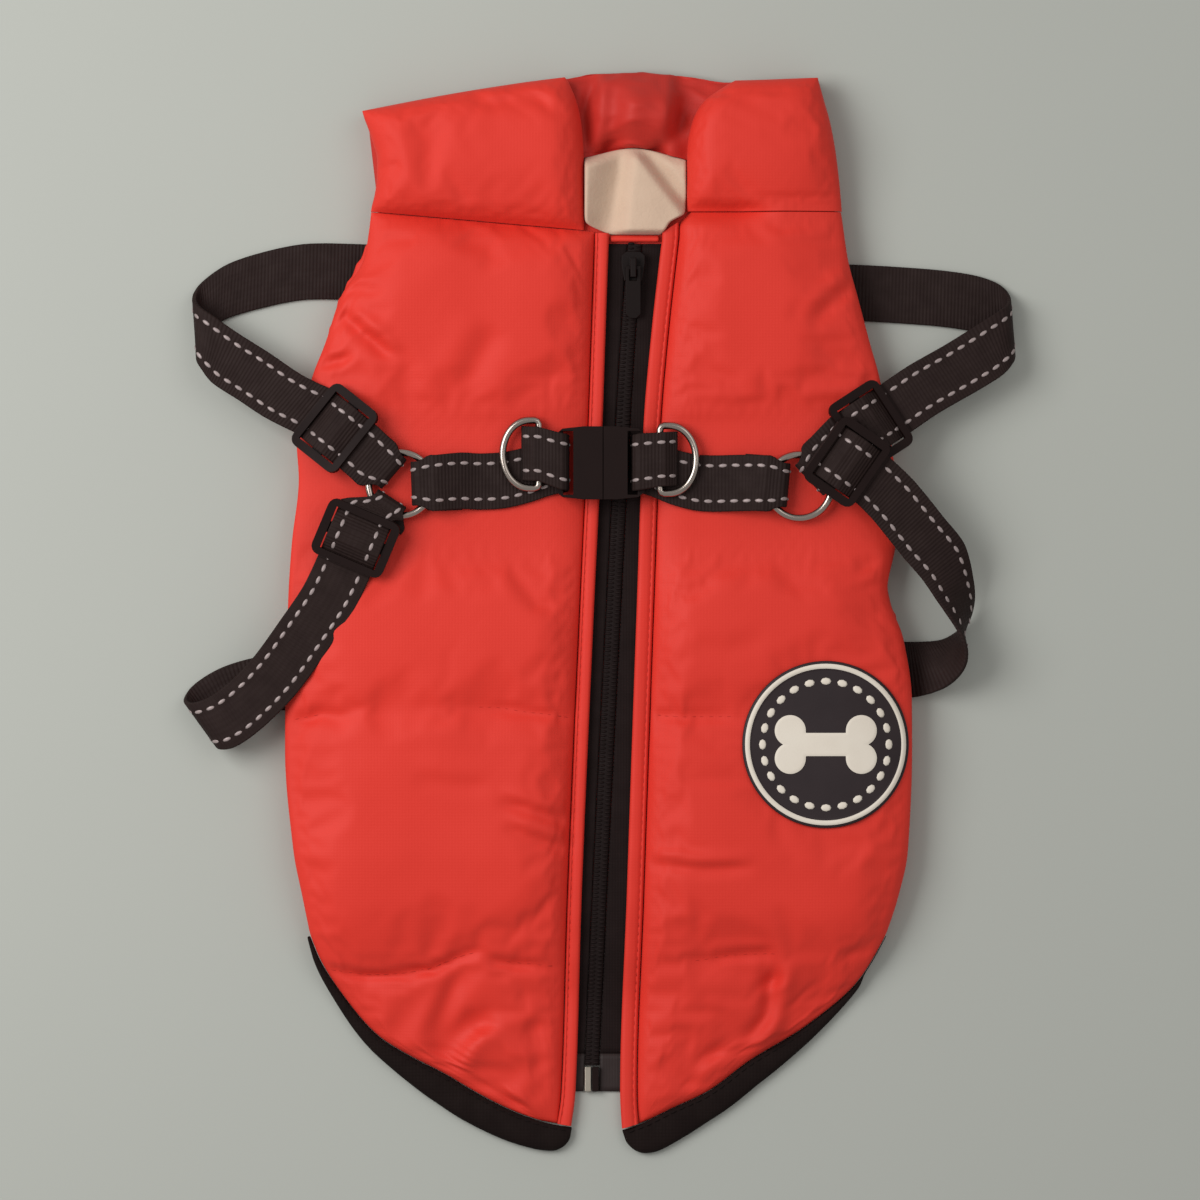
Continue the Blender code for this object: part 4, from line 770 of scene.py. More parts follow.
class RepeatTree:
    """Geometry Nodes tree that lays one small rounded body at even steps along paths."""

    def __init__(self, name: str, finish: Finish) -> None:
        """Build the tree with named inputs for its sizes."""
        tree = bpy.data.node_groups.new(name, "GeometryNodeTree")
        face = tree.interface
        face.new_socket("Geometry", in_out="INPUT", socket_type="NodeSocketGeometry")
        for label, value in (("Spacing", 0.003), ("Length", 0.002), ("Width", 0.0005),
                             ("Height", 0.0005), ("Turn", 0.0)):
            socket = face.new_socket(label, in_out="INPUT", socket_type="NodeSocketFloat")
            socket.default_value = value
        seed = face.new_socket("Seed", in_out="INPUT", socket_type="NodeSocketInt")
        seed.default_value = REPEAT_SEED
        face.new_socket("Geometry", in_out="OUTPUT", socket_type="NodeSocketGeometry")
        source = add_node(tree, "NodeGroupInput").outputs
        curve = add_node(tree, "GeometryNodeMeshToCurve", None, {"Mesh": source["Geometry"]})
        even = add_node(tree, "GeometryNodeResampleCurve", {"mode": "LENGTH"},
                        {"Curve": curve.outputs["Curve"], "Length": source["Spacing"]})
        body = add_node(tree, "GeometryNodeMeshUVSphere",
                        {"Segments": 8, "Rings": 5, "Radius": 0.5})
        sizes = add_node(tree, "ShaderNodeCombineXYZ", None,
                         {"X": source["Length"], "Y": source["Width"], "Z": source["Height"]})
        upward = add_node(tree, "GeometryNodeInputNamedAttribute",
                          {"data_type": "FLOAT_VECTOR", "Name": "upward"})
        tangent = add_node(tree, "GeometryNodeInputTangent")
        turned = add_node(tree, "FunctionNodeAxesToRotation",
                          {"primary_axis": "Z", "secondary_axis": "X"},
                          {0: upward.outputs["Attribute"], 1: tangent.outputs["Tangent"]})
        placed = add_node(tree, "GeometryNodeInstanceOnPoints", None,
                          {"Points": even.outputs["Curve"], "Instance": body.outputs["Mesh"],
                           "Rotation": turned.outputs["Rotation"], "Scale": sizes.outputs[0]})
        less = add_node(tree, "ShaderNodeMath", {"operation": "MULTIPLY", 1: -1.0},
                        {0: source["Turn"]})
        chance = add_node(tree, "FunctionNodeRandomValue", {"data_type": "FLOAT"},
                          {2: less.outputs[0], 3: source["Turn"], "Seed": source["Seed"]})
        angle = add_node(tree, "ShaderNodeCombineXYZ", None, {"Z": chance.outputs[1]})
        uneven = add_node(tree, "GeometryNodeRotateInstances", None,
                          {"Instances": placed.outputs["Instances"], "Rotation": angle.outputs[0]})
        real = add_node(tree, "GeometryNodeRealizeInstances", None,
                        {"Geometry": uneven.outputs["Instances"]})
        dressed = add_node(tree, "GeometryNodeSetMaterial", {"Material": finish.material()},
                           {"Geometry": real.outputs["Geometry"]})
        add_node(tree, "NodeGroupOutput", None, {"Geometry": dressed.outputs["Geometry"]})
        self.tree = tree
        self.finish = finish

    def lay(self, name: str, paths: list, spacing: float, size: Row,
            turn: float = 0.0) -> None:
        """Lay the bodies along paths as one plain mesh that rides on the coat.

        Args:
            name: the piece's name.
            paths: lists of pairs of a point in millimetres and its upward direction.
            spacing: from one body to the next, in millimetres.
            size: length along the path, width and height of a body, in millimetres.
            turn: how far a body may turn out of line, in degrees.
        """
        mesh = bpy.data.meshes.new(name)
        points, edges, ups = [], [], []
        for path in paths:
            first = len(points)
            points += [Vector(p) * MM for p, _ in path]
            ups += [tuple(u) for _, u in path]
            edges += [(i, i + 1) for i in range(first, len(points) - 1)]
        mesh.from_pydata(points, edges, [])
        upward = mesh.attributes.new("upward", "FLOAT_VECTOR", "POINT")
        upward.data.foreach_set("vector", [c for u in ups for c in u])
        piece = placed_object(name, mesh)
        modifier = piece.modifiers.new("Repeat", "NODES")
        modifier.node_group = self.tree
        values = {"Spacing": spacing * MM, "Length": size[0] * MM, "Width": size[1] * MM,
                  "Height": size[2] * MM, "Turn": math.radians(turn), "Seed": REPEAT_SEED}
        for item in self.tree.interface.items_tree:
            if item.in_out == "INPUT" and item.name in values:
                modifier[item.identifier] = values[item.name]
        real = evaluated(piece)
        piece.modifiers.clear()
        piece.data = real
        real.name = name
        real.shade_smooth()
        self.finish.mark(piece)
        fit(piece)


# ---------------- padded cloth
@dataclass(frozen=True)
class Crease:
    """A fold in padded cloth: points of its line, depth, width and ridge, in millimetres."""

    line: Table
    depth: float
    width: float
    ridge: float

    def height(self, x: float, y: float) -> float:
        """How far the crease moves the cloth up or down at a place.

        Args:
            x: the place, in millimetres.
            y: the place, in millimetres.

        Returns:
            The height to add, below zero in the valley.
        """
        best = (1e9, 0.0, 0.0)
        total = sum(math.dist(a, b) for a, b in zip(self.line, self.line[1:]))
        walked = 0.0
        for a, b in zip(self.line, self.line[1:]):
            run = (b[0] - a[0], b[1] - a[1])
            length = math.hypot(*run)
            t = ((x - a[0]) * run[0] + (y - a[1]) * run[1]) / (length * length)
            t = min(max(t, 0.0), 1.0)
            dx, dy = x - a[0] - run[0] * t, y - a[1] - run[1] * t
            side = math.copysign(1.0, run[0] * dy - run[1] * dx)
            distance = math.hypot(dx, dy)
            if distance < best[0]:
                best = (distance, side, (walked + t * length) / total)
            walked += length
        distance, side, share = best
        if distance > 5 * self.width:
            return 0.0
        fade = min(1.0, 4.5 * share, 4.5 * (1 - share))
        fade = max(fade, 0.0) ** 0.7
        u = distance / self.width
        valley = -self.depth * math.exp(-u * u)
        offset = (side * distance - 1.7 * self.width) / (1.1 * self.width)
        return fade * (valley + self.ridge * self.depth * math.exp(-offset * offset))


LEFT_CREASES = (
    Crease(((-98, -125.9), (-81.3, -128.2), (-70.6, -127.6), (-60, -125.8), (-50.5, -121.8),
            (-42.2, -118.2)), 2.5, 1.25, 0.45),
    Crease(((-41, -123), (-30, -124), (-19, -125.6)), 1.6, 1.6, 0.4),
    Crease(((-80, -131.4), (-72, -132.4), (-64, -131)), 0.8, 1.3, 0.5),
    Crease(((-42, -126.4), (-36, -128.2), (-29, -126.8)), 0.8, 1.2, 0.5),
    Crease(((-48.5, -124.5), (-53, -135), (-57, -147), (-56, -158)), 1.6, 4, 0.2),
    Crease(((-34.4, -145.4), (-41.9, -147.2), (-46.9, -152), (-50.4, -158.2),
            (-53, -163.4)), 2, 1.5, 0.5),
    Crease(((-37, -143.2), (-45, -145.4), (-50.2, -150.4), (-53.6, -156.8),
            (-56.4, -162.4)), 3, 3.6, 0.55),
    Crease(((-23.5, -142), (-22, -154), (-22.5, -168)), 1.4, 3.4, 0.2),
    Crease(((-48, -165.6), (-44, -166.4), (-39, -167.2)), 1.4, 1.5, 0.6),
    Crease(((-35, -170.6), (-31, -173), (-26, -175)), 1.9, 1.4, 0.6),
    Crease(((-63, -157.5), (-58, -154), (-54, -155)), 1, 1.6, 0.4),
    Crease(((-91, 106.5), (-82, 99), (-72, 90)), 3, 2, 0.7),
    Crease(((-97, 114), (-86, 115.4), (-76, 115)), 2.4, 1.6, 0.7),
    Crease(((-106, 90.4), (-96, 89.6), (-87, 90.8)), 2, 1.8, 0.6),
    Crease(((-99, 101), (-92, 104), (-86, 110)), 1.4, 1.8, 0.5),
    Crease(((-47, 80), (-43, 90), (-36, 102)), 1.6, 5, 0.4),
    Crease(((-40, -32.9), (-30, -33.8), (-10, -36.9)), 1, 1.4, 0.4),
    Crease(((-36, -66), (-26.8, -68.3), (-9, -74)), 1.9, 2, 0.7),
    Crease(((-34, -74.6), (-26.8, -77.6), (-9, -84)), 1.8, 1.9, 0.7),
    Crease(((-66, -58), (-52, -60.5), (-38, -61)), 0.8, 3, 0.4),
    Crease(((-108, -38), (-98, -36), (-88, -38)), 1.6, 2.6, 0.5),
)
RIGHT_CREASES = (
    Crease(((15, -87.4), (26, -88.6), (36, -90), (55, -89.3)), 1.9, 1.8, 0.7),
    Crease(((40, -122), (50, -120.9), (62, -120.3)), 1.8, 1.5, 0.5),
    Crease(((84, -120), (90, -119.8), (97, -119)), 1, 1.6, 0.4),
    Crease(((66, -128.4), (60, -131), (54, -132.4)), 1.6, 1.7, 0.6),
    Crease(((63, -122), (60.5, -133), (59.5, -142), (52, -152)), 2.3, 2.7, 0.8),
    Crease(((21, -158), (26, -163.8), (34, -169)), 1.5, 2.6, 0.5),
    Crease(((46, -152), (40, -157), (33, -160)), 1.3, 2.4, 0.5),
    Crease(((14.6, -34.6), (26, -36.2), (46, -36.4)), 1.2, 1.4, 0.4),
    Crease(((74, 102), (82, 110), (92, 118)), 1.6, 2.8, 0.7),
    Crease(((99, 20), (90, 14), (80, 12)), 1, 2.6, 0.5),
    Crease(((30, -10), (46, -13), (60, -8)), 0.7, 4, 0.4),
)
WING_LEFT_CREASES = (
    Crease(((-80, 157.6), (-75, 158.6), (-70, 158.2)), 0.8, 2, 0.5),
    Crease(((-46, 184), (-37, 180.5), (-30, 183.5)), 1.3, 2.4, 0.6),
    Crease(((-30, 183), (-20, 182), (-12, 174)), 1, 2.6, 0.5),
)
WING_RIGHT_CREASES = (
    Crease(((31.5, 144.7), (45, 144.9), (58, 144.6)), 0.8, 1.4, 0.3),
    Crease(((40, 186), (50, 183), (58, 185)), 0.8, 2.8, 0.4),
)
FAR_CREASES = (
    Crease(((-1.2, 192), (-3.2, 184), (-5.6, 179), (-5, 166)), 2.4, 1.9, 0.6),
    Crease(((6, 187), (5, 181), (3.4, 173), (4, 158)), 5, 4.4, 0.5),
    Crease(((31, 179), (28.6, 174.6), (24.6, 168.5), (17, 161)), 3.4, 2.6, 0.7),
    Crease(((-34, 185), (-22, 188), (-8, 187)), 1.2, 2, 0.6),
)


# Light nylon over wadding, held along its seams
CLOTH = {"quality": 4, "mass": 0.2, "tension_stiffness": 12.0, "compression_stiffness": 12.0,
         "shear_stiffness": 4.0, "bending_stiffness": 0.25, "use_pressure": True,
         "vertex_group_mass": "held"}


@dataclass
class PaddedPiece:
    """A stuffed panel: a grid over a flat underside, blown up as cloth and then creased."""

    node: str
    finish: Finish
    creases: tuple[Crease, ...]
    pressure: float = 3.0
    slack: float = 0.035
    fill: float = 0.6
    seed: float = 1.0
    frames: int = 20              # of the cloth's settling
    piece: bpy.types.Object | None = None

    def surface(self) -> Grid:
        """Rows of pairs of an upper and a lower point."""
        raise NotImplementedError

    def reach(self, x: float, y: float, u: float, v: float) -> float:
        """How far the cloth may move at a place, in millimetres."""
        raise NotImplementedError

    def fine(self, x: float, y: float, u: float, v: float) -> float:
        """Small puckers at a place, in millimetres."""
        raise NotImplementedError

    def build(self) -> None:
        """Make the piece, ride it and let it stand for its CAD node."""
        grid = self.surface()
        piece = grid_solid(self.node + "_padded", grid, self.finish)
        rows, columns = len(grid), len(grid[0])
        shares = [(j / (columns - 1), i / (rows - 1)) for i in range(rows) for j in range(columns)]
        places = [upper for row in grid for upper, _ in row]
        reach = [self.reach(p[0], p[1], *s) for p, s in zip(places, shares)]
        self._inflate(piece, reach)
        for i, (place, share) in enumerate(zip(places, shares)):
            edge = min(1.0, reach[i] / 0.4)
            lift = self.fine(place[0], place[1], *share)
            lift += sum(c.height(place[0], place[1]) for c in self.creases)
            piece.data.vertices[i].co.z += edge * lift * MM
        fit(piece, self.node, soft=True)
        self.piece = piece
        LOG.info("%s: padded, %d points", self.node, len(piece.data.vertices))

    def _inflate(self, piece: bpy.types.Object, reach: list[float]) -> None:
        """Blow the upper side up as cloth that is held along its seams.

        Args:
            piece: the closed mesh, changed in place.
            reach: how far each point of the upper side may move, in millimetres.
        """
        held = piece.vertex_groups.new(name="held")
        count = len(reach)
        for i in range(len(piece.data.vertices)):
            free = min(1.0, reach[i] / 1.5) if i < count else 0.0
            held.add([i], 1.0 - free if free < 0.999 else 0.0, "REPLACE")
        modifier = piece.modifiers.new("Cloth", "CLOTH")
        cloth = modifier.settings
        for setting, value in CLOTH.items():
            setattr(cloth, setting, value)
        cloth.uniform_pressure_force = self.pressure
        cloth.shrink_min = -self.slack
        cloth.effector_weights.gravity = 0.0
        modifier.collision_settings.use_collision = False
        modifier.point_cache.frame_start = 1
        modifier.point_cache.frame_end = self.frames
        scene = bpy.context.scene
        rest = np.array([v.co for v in piece.data.vertices])
        for frame in range(1, self.frames + 1):
            scene.frame_set(frame)
        mesh = evaluated(piece)
        moved = np.array([v.co for v in mesh.vertices])
        bpy.data.meshes.remove(mesh)
        piece.modifiers.remove(modifier)
        piece.vertex_groups.clear()
        scene.frame_set(1)
        shift = moved - rest
        limit = np.zeros(len(rest))
        limit[:count] = np.array(reach) * MM
        size = np.maximum(np.linalg.norm(shift, axis=1), 1e-9)
        shift *= np.minimum(1.0, limit / size)[:, None]
        for vertex, co in zip(piece.data.vertices, rest + shift):
            vertex.co = co
        piece.data.update()


@dataclass
class ZipSidePanel(PaddedPiece):
    """Padded panel beside the zip, quilted across, from the collar seam to the hem."""

    side: int = 1
    rows: int = 152
    columns: int = 66
    seam_rows: Row = (0.0, 0.35, 1.1)    # distances of the first rows from the collar seam
    even_from: float = 2.4

    def surface(self) -> Grid:
        """Rows from the collar seam down to the end of the tail."""
        grid = []
        seam, end = PANEL_ROWS[0][0], PANEL_ROWS[-1][0]
        even = steps(seam - self.even_from, end, self.rows - len(self.seam_rows))
        for y in (*(seam - below for below in self.seam_rows), *even):
            x_out = outer_x(y, self.side)
            x_in = inner_x(y - seam_drop(y, self.side), self.side)
            if self.side == 2:
                x_in += max(0.0, y - 139.0) * 1.1
            row = []
            for share in spaced(self.columns):
                x = x_in + (x_out - x_in) * share
                here = y - (seam_drop(y, self.side) + tail_drop(y)) * (1 - share)
                rise = (self.fullness(x, y) - EDGE_WALL) * rounding(abs(x - x_in), ROUND_IN)
                rise *= rounding(abs(x_out - x), ROUND_OUT)
                floor = deck(here)
                row.append(((x, here, floor + EDGE_WALL + rise), (x, here, floor)))
            grid.append(row)
        return grid

    def quilting(self, x: float, line: float) -> float:
        """How much of a quilting line's valley shows at a place, from 0 to 1."""
        return hermite(QUILT_SHOWS[line, self.side], x, 1)

    def quilt_line(self, x: float, line: float) -> float:
        """Place along y of a quilting line, which wanders a little."""
        wander = hermite(QUILT_PATHS[line, self.side], x, 1)
        return wander + 0.6 * waviness(x, line, 20.0, self.seed + 13)

    def fullness(self, x: float, y: float) -> float:
        """Padding height over the layer below at a place."""
        if abs(y - STRAP_QUILT) < 14.0:
            line, level = STRAP_QUILT, 9.1
        elif y < -104.0:
            line, level = HEM_QUILT, 8.7
        elif self.side == 2 and y > 118.0:
            known = hermite(PANEL_ROWS, y, 1)
            return known + max(0.0, SIDE_FULL - known) * smooth_step(x, *SIDE_SEAM_FROM)
        else:
            return hermite(PANEL_ROWS, y, 1)
        shift = (line - self.quilt_line(x, line)) * (1 - smooth_step(abs(y - line), 8.0, 14.0))
        known = hermite(PANEL_ROWS, y + shift, 1)
        blend = 1 - smooth_step(-y, 130.0, 142.0)
        return known + max(0.0, level - known) * (1 - self.quilting(x, line)) * blend

    def reach(self, x: float, y: float, u: float, v: float) -> float:
        """None at the seams and under the straps and badge, the most between them."""
        if u in (0.0, 1.0) or v in (0.0, 1.0):
            return 0.0
        inside = abs(x - inner_x(y, self.side))
        outside = abs(outer_x(y, self.side) - x)
        edge = min(1.0, inside / 9.0, outside / 9.0, (144.0 - y) / 9.0, (y + 183.0) / 8.0)
        edge = smooth_step(edge, 0.0, 1.0)
        strap = smooth_step(abs(y - STRAP_LINE), 20.0, 36.0)
        if self.side == 2:
            away = math.hypot(x - BADGE_CENTRE[0], y - BADGE_CENTRE[1]) - BADGE_RADIUS
            strap *= min(max(away / 8.0 + 0.6, 0.25), 1.0)
        quilt = min(abs(y - STRAP_QUILT), abs(y - HEM_QUILT))
        return max(0.0, edge) * (0.15 + 0.85 * strap) * 1.9 * (0.55 + 0.45 * min(1.0, quilt / 7.0))

    def fine(self, x: float, y: float, u: float, v: float) -> float:
        """Puckers that run away from the placket, the quilting lines and the hem."""
        inside = abs(x - inner_x(y, self.side))
        outside = abs(outer_x(y, self.side) - x)
        beside = 0.42 * math.exp(-inside / 8.0) * waviness(0.18 * x, y, 5.5, self.seed)
        hem = 0.5 if y < -118.0 else 0.2
        hem *= math.exp(-outside / 9.0) * waviness(0.4 * x, y, 8.0, self.seed + 3)
        quilt = min(abs(y - STRAP_QUILT), abs(y - HEM_QUILT))
        lines = 0.45 * math.exp(-quilt / 6.0) * waviness(x, 0.2 * y, 8.0, self.seed + 5)
        broad = 0.9 * waviness(x, y, 44.0, self.seed + 7)
        broad += 0.28 * waviness(x, y, 17.0, self.seed + 9)
        if 24.0 < y < 70.0:
            broad *= 0.2
        return beside + hem + lines + broad


@dataclass
class CollarWing(PaddedPiece):
    """Half of the stand-up collar's near side, folded over and stuffed."""

    table: Table = ()
    seam: Table = ()
    rows: int = 40
    columns: int = 56

    def surface(self) -> Grid:
        """Rows from the seam to the upper edge."""
        (x0, y0), (x1, y1) = self.seam
        floor = BELLY_TOP + GAP
        grid = []
        for v in spaced(self.rows):
            x_in, x_out = hermite(self.table, v, 1), hermite(self.table, v, 2)
            known = hermite(self.table, v, 3)
            row = []
            for u in spaced(self.columns):
                x = x_in + (x_out - x_in) * u
                level = smooth_step(x, *SIDE_SEAM_FROM) if v < 0.5 and x > 0 else 0.0
                seam_y = y0 + (x - x0) * (y1 - y0) / (x1 - x0) + SEAM
                y = seam_y + (hermite(COLLAR_TOP, x, 1) - seam_y) * v
                full = known + max(0.0, SIDE_FULL - known) * level - EDGE_WALL
                far = 12.0 + 18.0 * level * (1 - v / 0.5) if level else 12.0
                rise = full * rounding(abs(x - x_in), 11.0) * rounding(abs(x_out - x), far)
                row.append(((x, y, floor + EDGE_WALL + rise), (x, y, floor)))
            grid.append(row)
        return grid

    def reach(self, x: float, y: float, u: float, v: float) -> float:
        """None along the seams and the most in the middle of the wing."""
        return 1.5 * smooth_step(min(u, 1 - u, v, 1 - v), 0.0, 0.26)

    def fine(self, x: float, y: float, u: float, v: float) -> float:
        """Puckers along the seam and slow swells between."""
        seam = 0.4 * math.exp(-v / 0.12) * waviness(x, 0.2 * y, 9.0, self.seed)
        ends = 0.25 * math.exp(-(1 - u) / 0.1) * waviness(0.2 * x, y, 8.0, self.seed + 2)
        return seam + ends + 0.4 * waviness(x, y, 34.0, self.seed + 4)


@dataclass
class FarCollar(PaddedPiece):
    """Far side of the collar, whose facing shows between the wings."""

    rows: int = 34
    columns: int = 110
    bulge: float = 12.0

    def surface(self) -> Grid:
        """Rows from the neck seam to the upper edge, rounded out between the wings."""
        left, right = hermite(BODY_SIDES, NECK_Y, 1), hermite(BODY_SIDES, NECK_Y, 2)
        grid = []
        for v in spaced(self.rows):
            row = []
            sink = 2.6 * max(0.0, (v - 0.8) / 0.2) ** 2
            for u in spaced(self.columns):
                x_seam = left + (right - left) * u
                x_top = FAR_COLLAR_TOP[0] + (FAR_COLLAR_TOP[1] - FAR_COLLAR_TOP[0]) * u
                y_seam = hermite(NECK_SEAM, x_seam, 1) + GAP
                y_top = hermite(COLLAR_TOP, x_top, 1) - 0.4
                x, y = x_seam + (x_top - x_seam) * v, y_seam + (y_top - y_seam) * v
                ends = 0.12 + 0.88 * rounding(min(u, 1 - u) * (right - left), 8.0)
                brim = 0.2 + 0.8 * rounding((1 - v) * 30.0, 7.0)
                roll = 8.0 - 2.6 * max(0.0, (v - 0.84) / 0.16) ** 2
                window = smooth_step(x, -5.0, 2.5) * (1 - smooth_step(x, 23.5, 31.0))
                roll += self.bulge * window * math.sin(math.pi * min(1.0, v / 0.98) ** 0.9)
                high = sink + 1.0 + (roll - 1.0 - sink) * ends * brim
                row.append(((x, y, high), (x, y, sink * ends)))
            grid.append(row)
        return grid

    def reach(self, x: float, y: float, u: float, v: float) -> float:
        """Free between the wings and along the upper edge, held under the wings."""
        hidden = min(1.0, max(0.0, (-x - 6.0) / 12.0, (x - 34.0) / 12.0) * max(0.0, 1.4 - 2 * v))
        return 1.8 * min(1.0, min(v, 1 - v) / 0.1) * (1 - hidden)

    def fine(self, x: float, y: float, u: float, v: float) -> float:
        """Slow swells along the roll."""
        return 0.4 * waviness(x, y, 14.0, self.seed) * min(1.0, v / 0.3)


@dataclass
class BellyPanel:
    """Padded belly side, with its leg holes and the channels for the straps under it."""

    voxel: float = 3.2

    def build(self) -> bpy.types.Object:
        """Remesh the CAD form as one soft skin, smooth it, and ripple it a little near the table.
        """
        piece = merged_copy("belly_panel_cloth", "belly_panel")
        remesh = piece.modifiers.new("Remesh", "REMESH")
        remesh.mode = "VOXEL"
        remesh.voxel_size = self.voxel * MM
        even = piece.modifiers.new("Even", "SMOOTH")
        even.iterations = 2
        even.factor = 0.5
        mesh = evaluated(piece)
        piece.modifiers.clear()
        piece.data = mesh
        for vertex in mesh.vertices:
            x, y, z = vertex.co / MM
            if z > 5.0 and not -141.0 < y < -84.0:
                continue
            if 1.0 < z < 7.0:
                vertex.co.z += 0.25 * MM * waviness(x, y, 12.0, 21.0)
        mesh.materials.clear()
        mesh.materials.append(TAFFETA.material())
        mesh.shade_smooth()
        fit(piece, "belly_panel", soft=True)
        TAFFETA.mark(piece)
        LOG.info("belly_panel_cloth: remeshed, %d points", len(mesh.vertices))
        return piece


def merged_copy(name: str, node: str) -> bpy.types.Object:
    """Copy of a CAD node's mesh with its doubled points merged and flat faces joined."""
    source = bpy.data.objects[node]
    mesh = source.data.copy()
    mesh.name = name
    bm = bmesh.new()
    bm.from_mesh(mesh)
    bmesh.ops.remove_doubles(bm, verts=bm.verts, dist=1e-6)
    bmesh.ops.dissolve_limit(bm, angle_limit=math.radians(1.5), verts=bm.verts, edges=bm.edges)
    bmesh.ops.recalc_face_normals(bm, faces=bm.faces)
    bm.to_mesh(mesh)
    bm.free()
    return placed_object(name, mesh)


def moulded(name: str, node: str, finish: Finish, edge: float, body: str = "coat") -> None:
    """Hard piece from its CAD form with rounded edges.

    Args:
        name: the piece's name.
        node: the CAD node that it stands for.
        finish: its finish.
        edge: radius of its edges in millimetres.
        body: the body that it rides on.
    """
    piece = merged_copy(name, node)
    piece.data.materials.clear()
    piece.data.materials.append(finish.material())
    piece.data.shade_smooth()
    bevel = piece.modifiers.new("Edges", "BEVEL")
    bevel.width = edge * MM
    bevel.segments = 2
    bevel.limit_method = "ANGLE"
    bevel.angle_limit = math.radians(40)
    bevel.harden_normals = True
    piece.data.set_sharp_from_angle(angle=math.radians(35))
    fit(piece, node, body)
    finish.mark(piece)
    LOG.info("%s: moulded", name)


# ---------------- narrow cloth
@dataclass
class Placket:
    """Narrow topstitched fold beside the zip."""

    side: int
    ends: tuple[float, float]
    foot: float                   # how much shorter its outer edge is at the hem
    count: int = 150              # of its cross sections
    stitched: tuple[float, float] = (-179.0, 134.0)

    def build(self, stitches: RepeatTree) -> None:
        """Make the strip and its row of stitches."""
        name = "placket_left" if self.side == 1 else "placket_right"
        width = PLACKET_WIDTH[self.side]
        sign = -1 if self.side == 1 else 1
        top, tail = self.ends
        even = (top - 0.3 + (tail - top + 0.6) * i / (self.count - 5)
                for i in range(self.count - 4))
        ys = [top, top - 0.1, *even, tail + 0.1, tail]
        sections, row = [], []
        shape = ((0.0, 0.0), (0.02, 0.62), (0.12, 0.92), (0.3, 1.0), (0.55, 0.97), (0.72, 0.86),
                 (0.80, 0.66), (0.86, 0.86), (0.94, 0.80), (1.0, 0.5), (1.0, 0.0))
        for y in ys:
            edge = hermite(ZIP_EDGES, y, self.side)
            low = deck(y) + TAPE + GAP
            tall = PLACKET_HEIGHT - TAPE - GAP
            swell = 1 + 0.07 * waviness(0.0, y, 9.0, 30.0 + self.side)
            slant = 0.0
            if self.side == 2:
                slant = 4.0 * smooth_step(y, self.ends[0] - 9.0, self.ends[0])
            foot = self.foot * smooth_step(-y, -self.ends[1] - 9.0, -self.ends[1])
            sections.append([(edge + sign * (width * u + (GAP - SEAM) * (u == 1.0)),
                              y + slant * (u - 0.75) + foot * u,
                              low + tall * v * swell) for u, v in shape])
            if self.stitched[0] < y < self.stitched[1]:
                row.append(((edge + sign * width * 0.80, y, low + tall * 0.66 * swell + 0.12),
                            (0, 0, 1)))
        piece = loft(name + "_fold", sections, TAFFETA, smooth=50.0)
        fit(piece, name, soft=True)
        stitches.lay(name + "_stitches", [row], 3.0, (2.3, 0.45, 0.4), 3.0)
        LOG.info("%s: fold and stitches", name)


@dataclass
class NeckPieces:
    """Cream lining in the neck opening and the narrow band over the zip."""

    # Sides of the lining that shows: y, left x, right x
    sides: Table = ((134.8, 4.4, 21.8), (136.6, -0.4, 23.6), (139.4, -4.9, 25.4),
                    (142.4, -5.2, 30.5), (150.0, -5.2, 31.1), (157.0, -5.2, 31.1))
    rows: int = 26
    columns: int = 30
    flat: tuple[float, float] = (0.045, 0.030)
    filled: float = 0.9           # share of the flat rectangle that the lining fills
    band: tuple[float, float] = (4.0, 21.3)       # ends of the band
    band_y: float = 132.2
    floor: float = BELLY_TOP + GAP

    def build(self) -> None:
        """Make the lining with its soft folds, then the band."""
        first, last = self.sides[0][0], self.sides[-1][0]
        grid = []
        for k in range(self.rows):
            share = k / (self.rows - 1)
            y_row = first + (last - first) * share
            x0, x1 = hermite(self.sides, y_row, 1), hermite(self.sides, y_row, 2)
            rim = min(1.0, share / 0.05, (1 - share) / 0.10)
            row = []
            for x in steps(x0, x1, self.columns):
                end = hermite(NECK_SEAM, x, 1) + GAP - SEAM
                y = y_row + (end - last) * max(0.0, (share - 0.35) / 0.65)
                rise = (self.fold(x, y) + 0.2 * waviness(x, y, 7.0, 3.0)) * rim
                row.append(((x, y, self.floor + TAPE + rise), (x, y, self.floor)))
            grid.append(row)
        lining = grid_solid("neck_lining_cloth", grid, FLEECE)
        fit(lining, "neck_lining", soft=True)
        profile = ((0.0, 0.0), (0.0, 1.7), (0.5, 2.3), (1.2, 2.4), (1.9, 2.1), (2.45, 1.4),
                   (2.45, 0.0))
        sections = []
        for x in steps(*self.band, 20):
            swell = 0.12 * waviness(x, 0.0, 4.0, 8.0)
            sections.append([(x, self.band_y + dy, self.floor + dz + (swell if dz > 1 else 0.0))
                             for dy, dz in profile])
        band = loft("neck_band_fold", sections, TAFFETA, smooth=50.0)
        fit(band, "neck_edge_band", soft=True)
        LOG.info("neck lining and band")

    @staticmethod
    def fold(x: float, y: float) -> float:
        """Height of the lining's folds: a slope at the left, then two ridges that lean."""
        ridge, valley = 6.5 + 0.1 * (y - 150.0), 18.7 + 0.78 * (161.4 - y)
        lean = 0.28 * (y - 148.0)
        fold = 8.0 * (1 - smooth_step(x - lean, -8.0, 6.5))
        fold += (5.4 * smooth_step(x, ridge - 1.0, ridge + 6.0)
                 * (1 - smooth_step(x, valley - 5.5, valley + 0.5)))
        return fold + 2.4 * smooth_step(x, valley + 0.5, valley + 5.5)


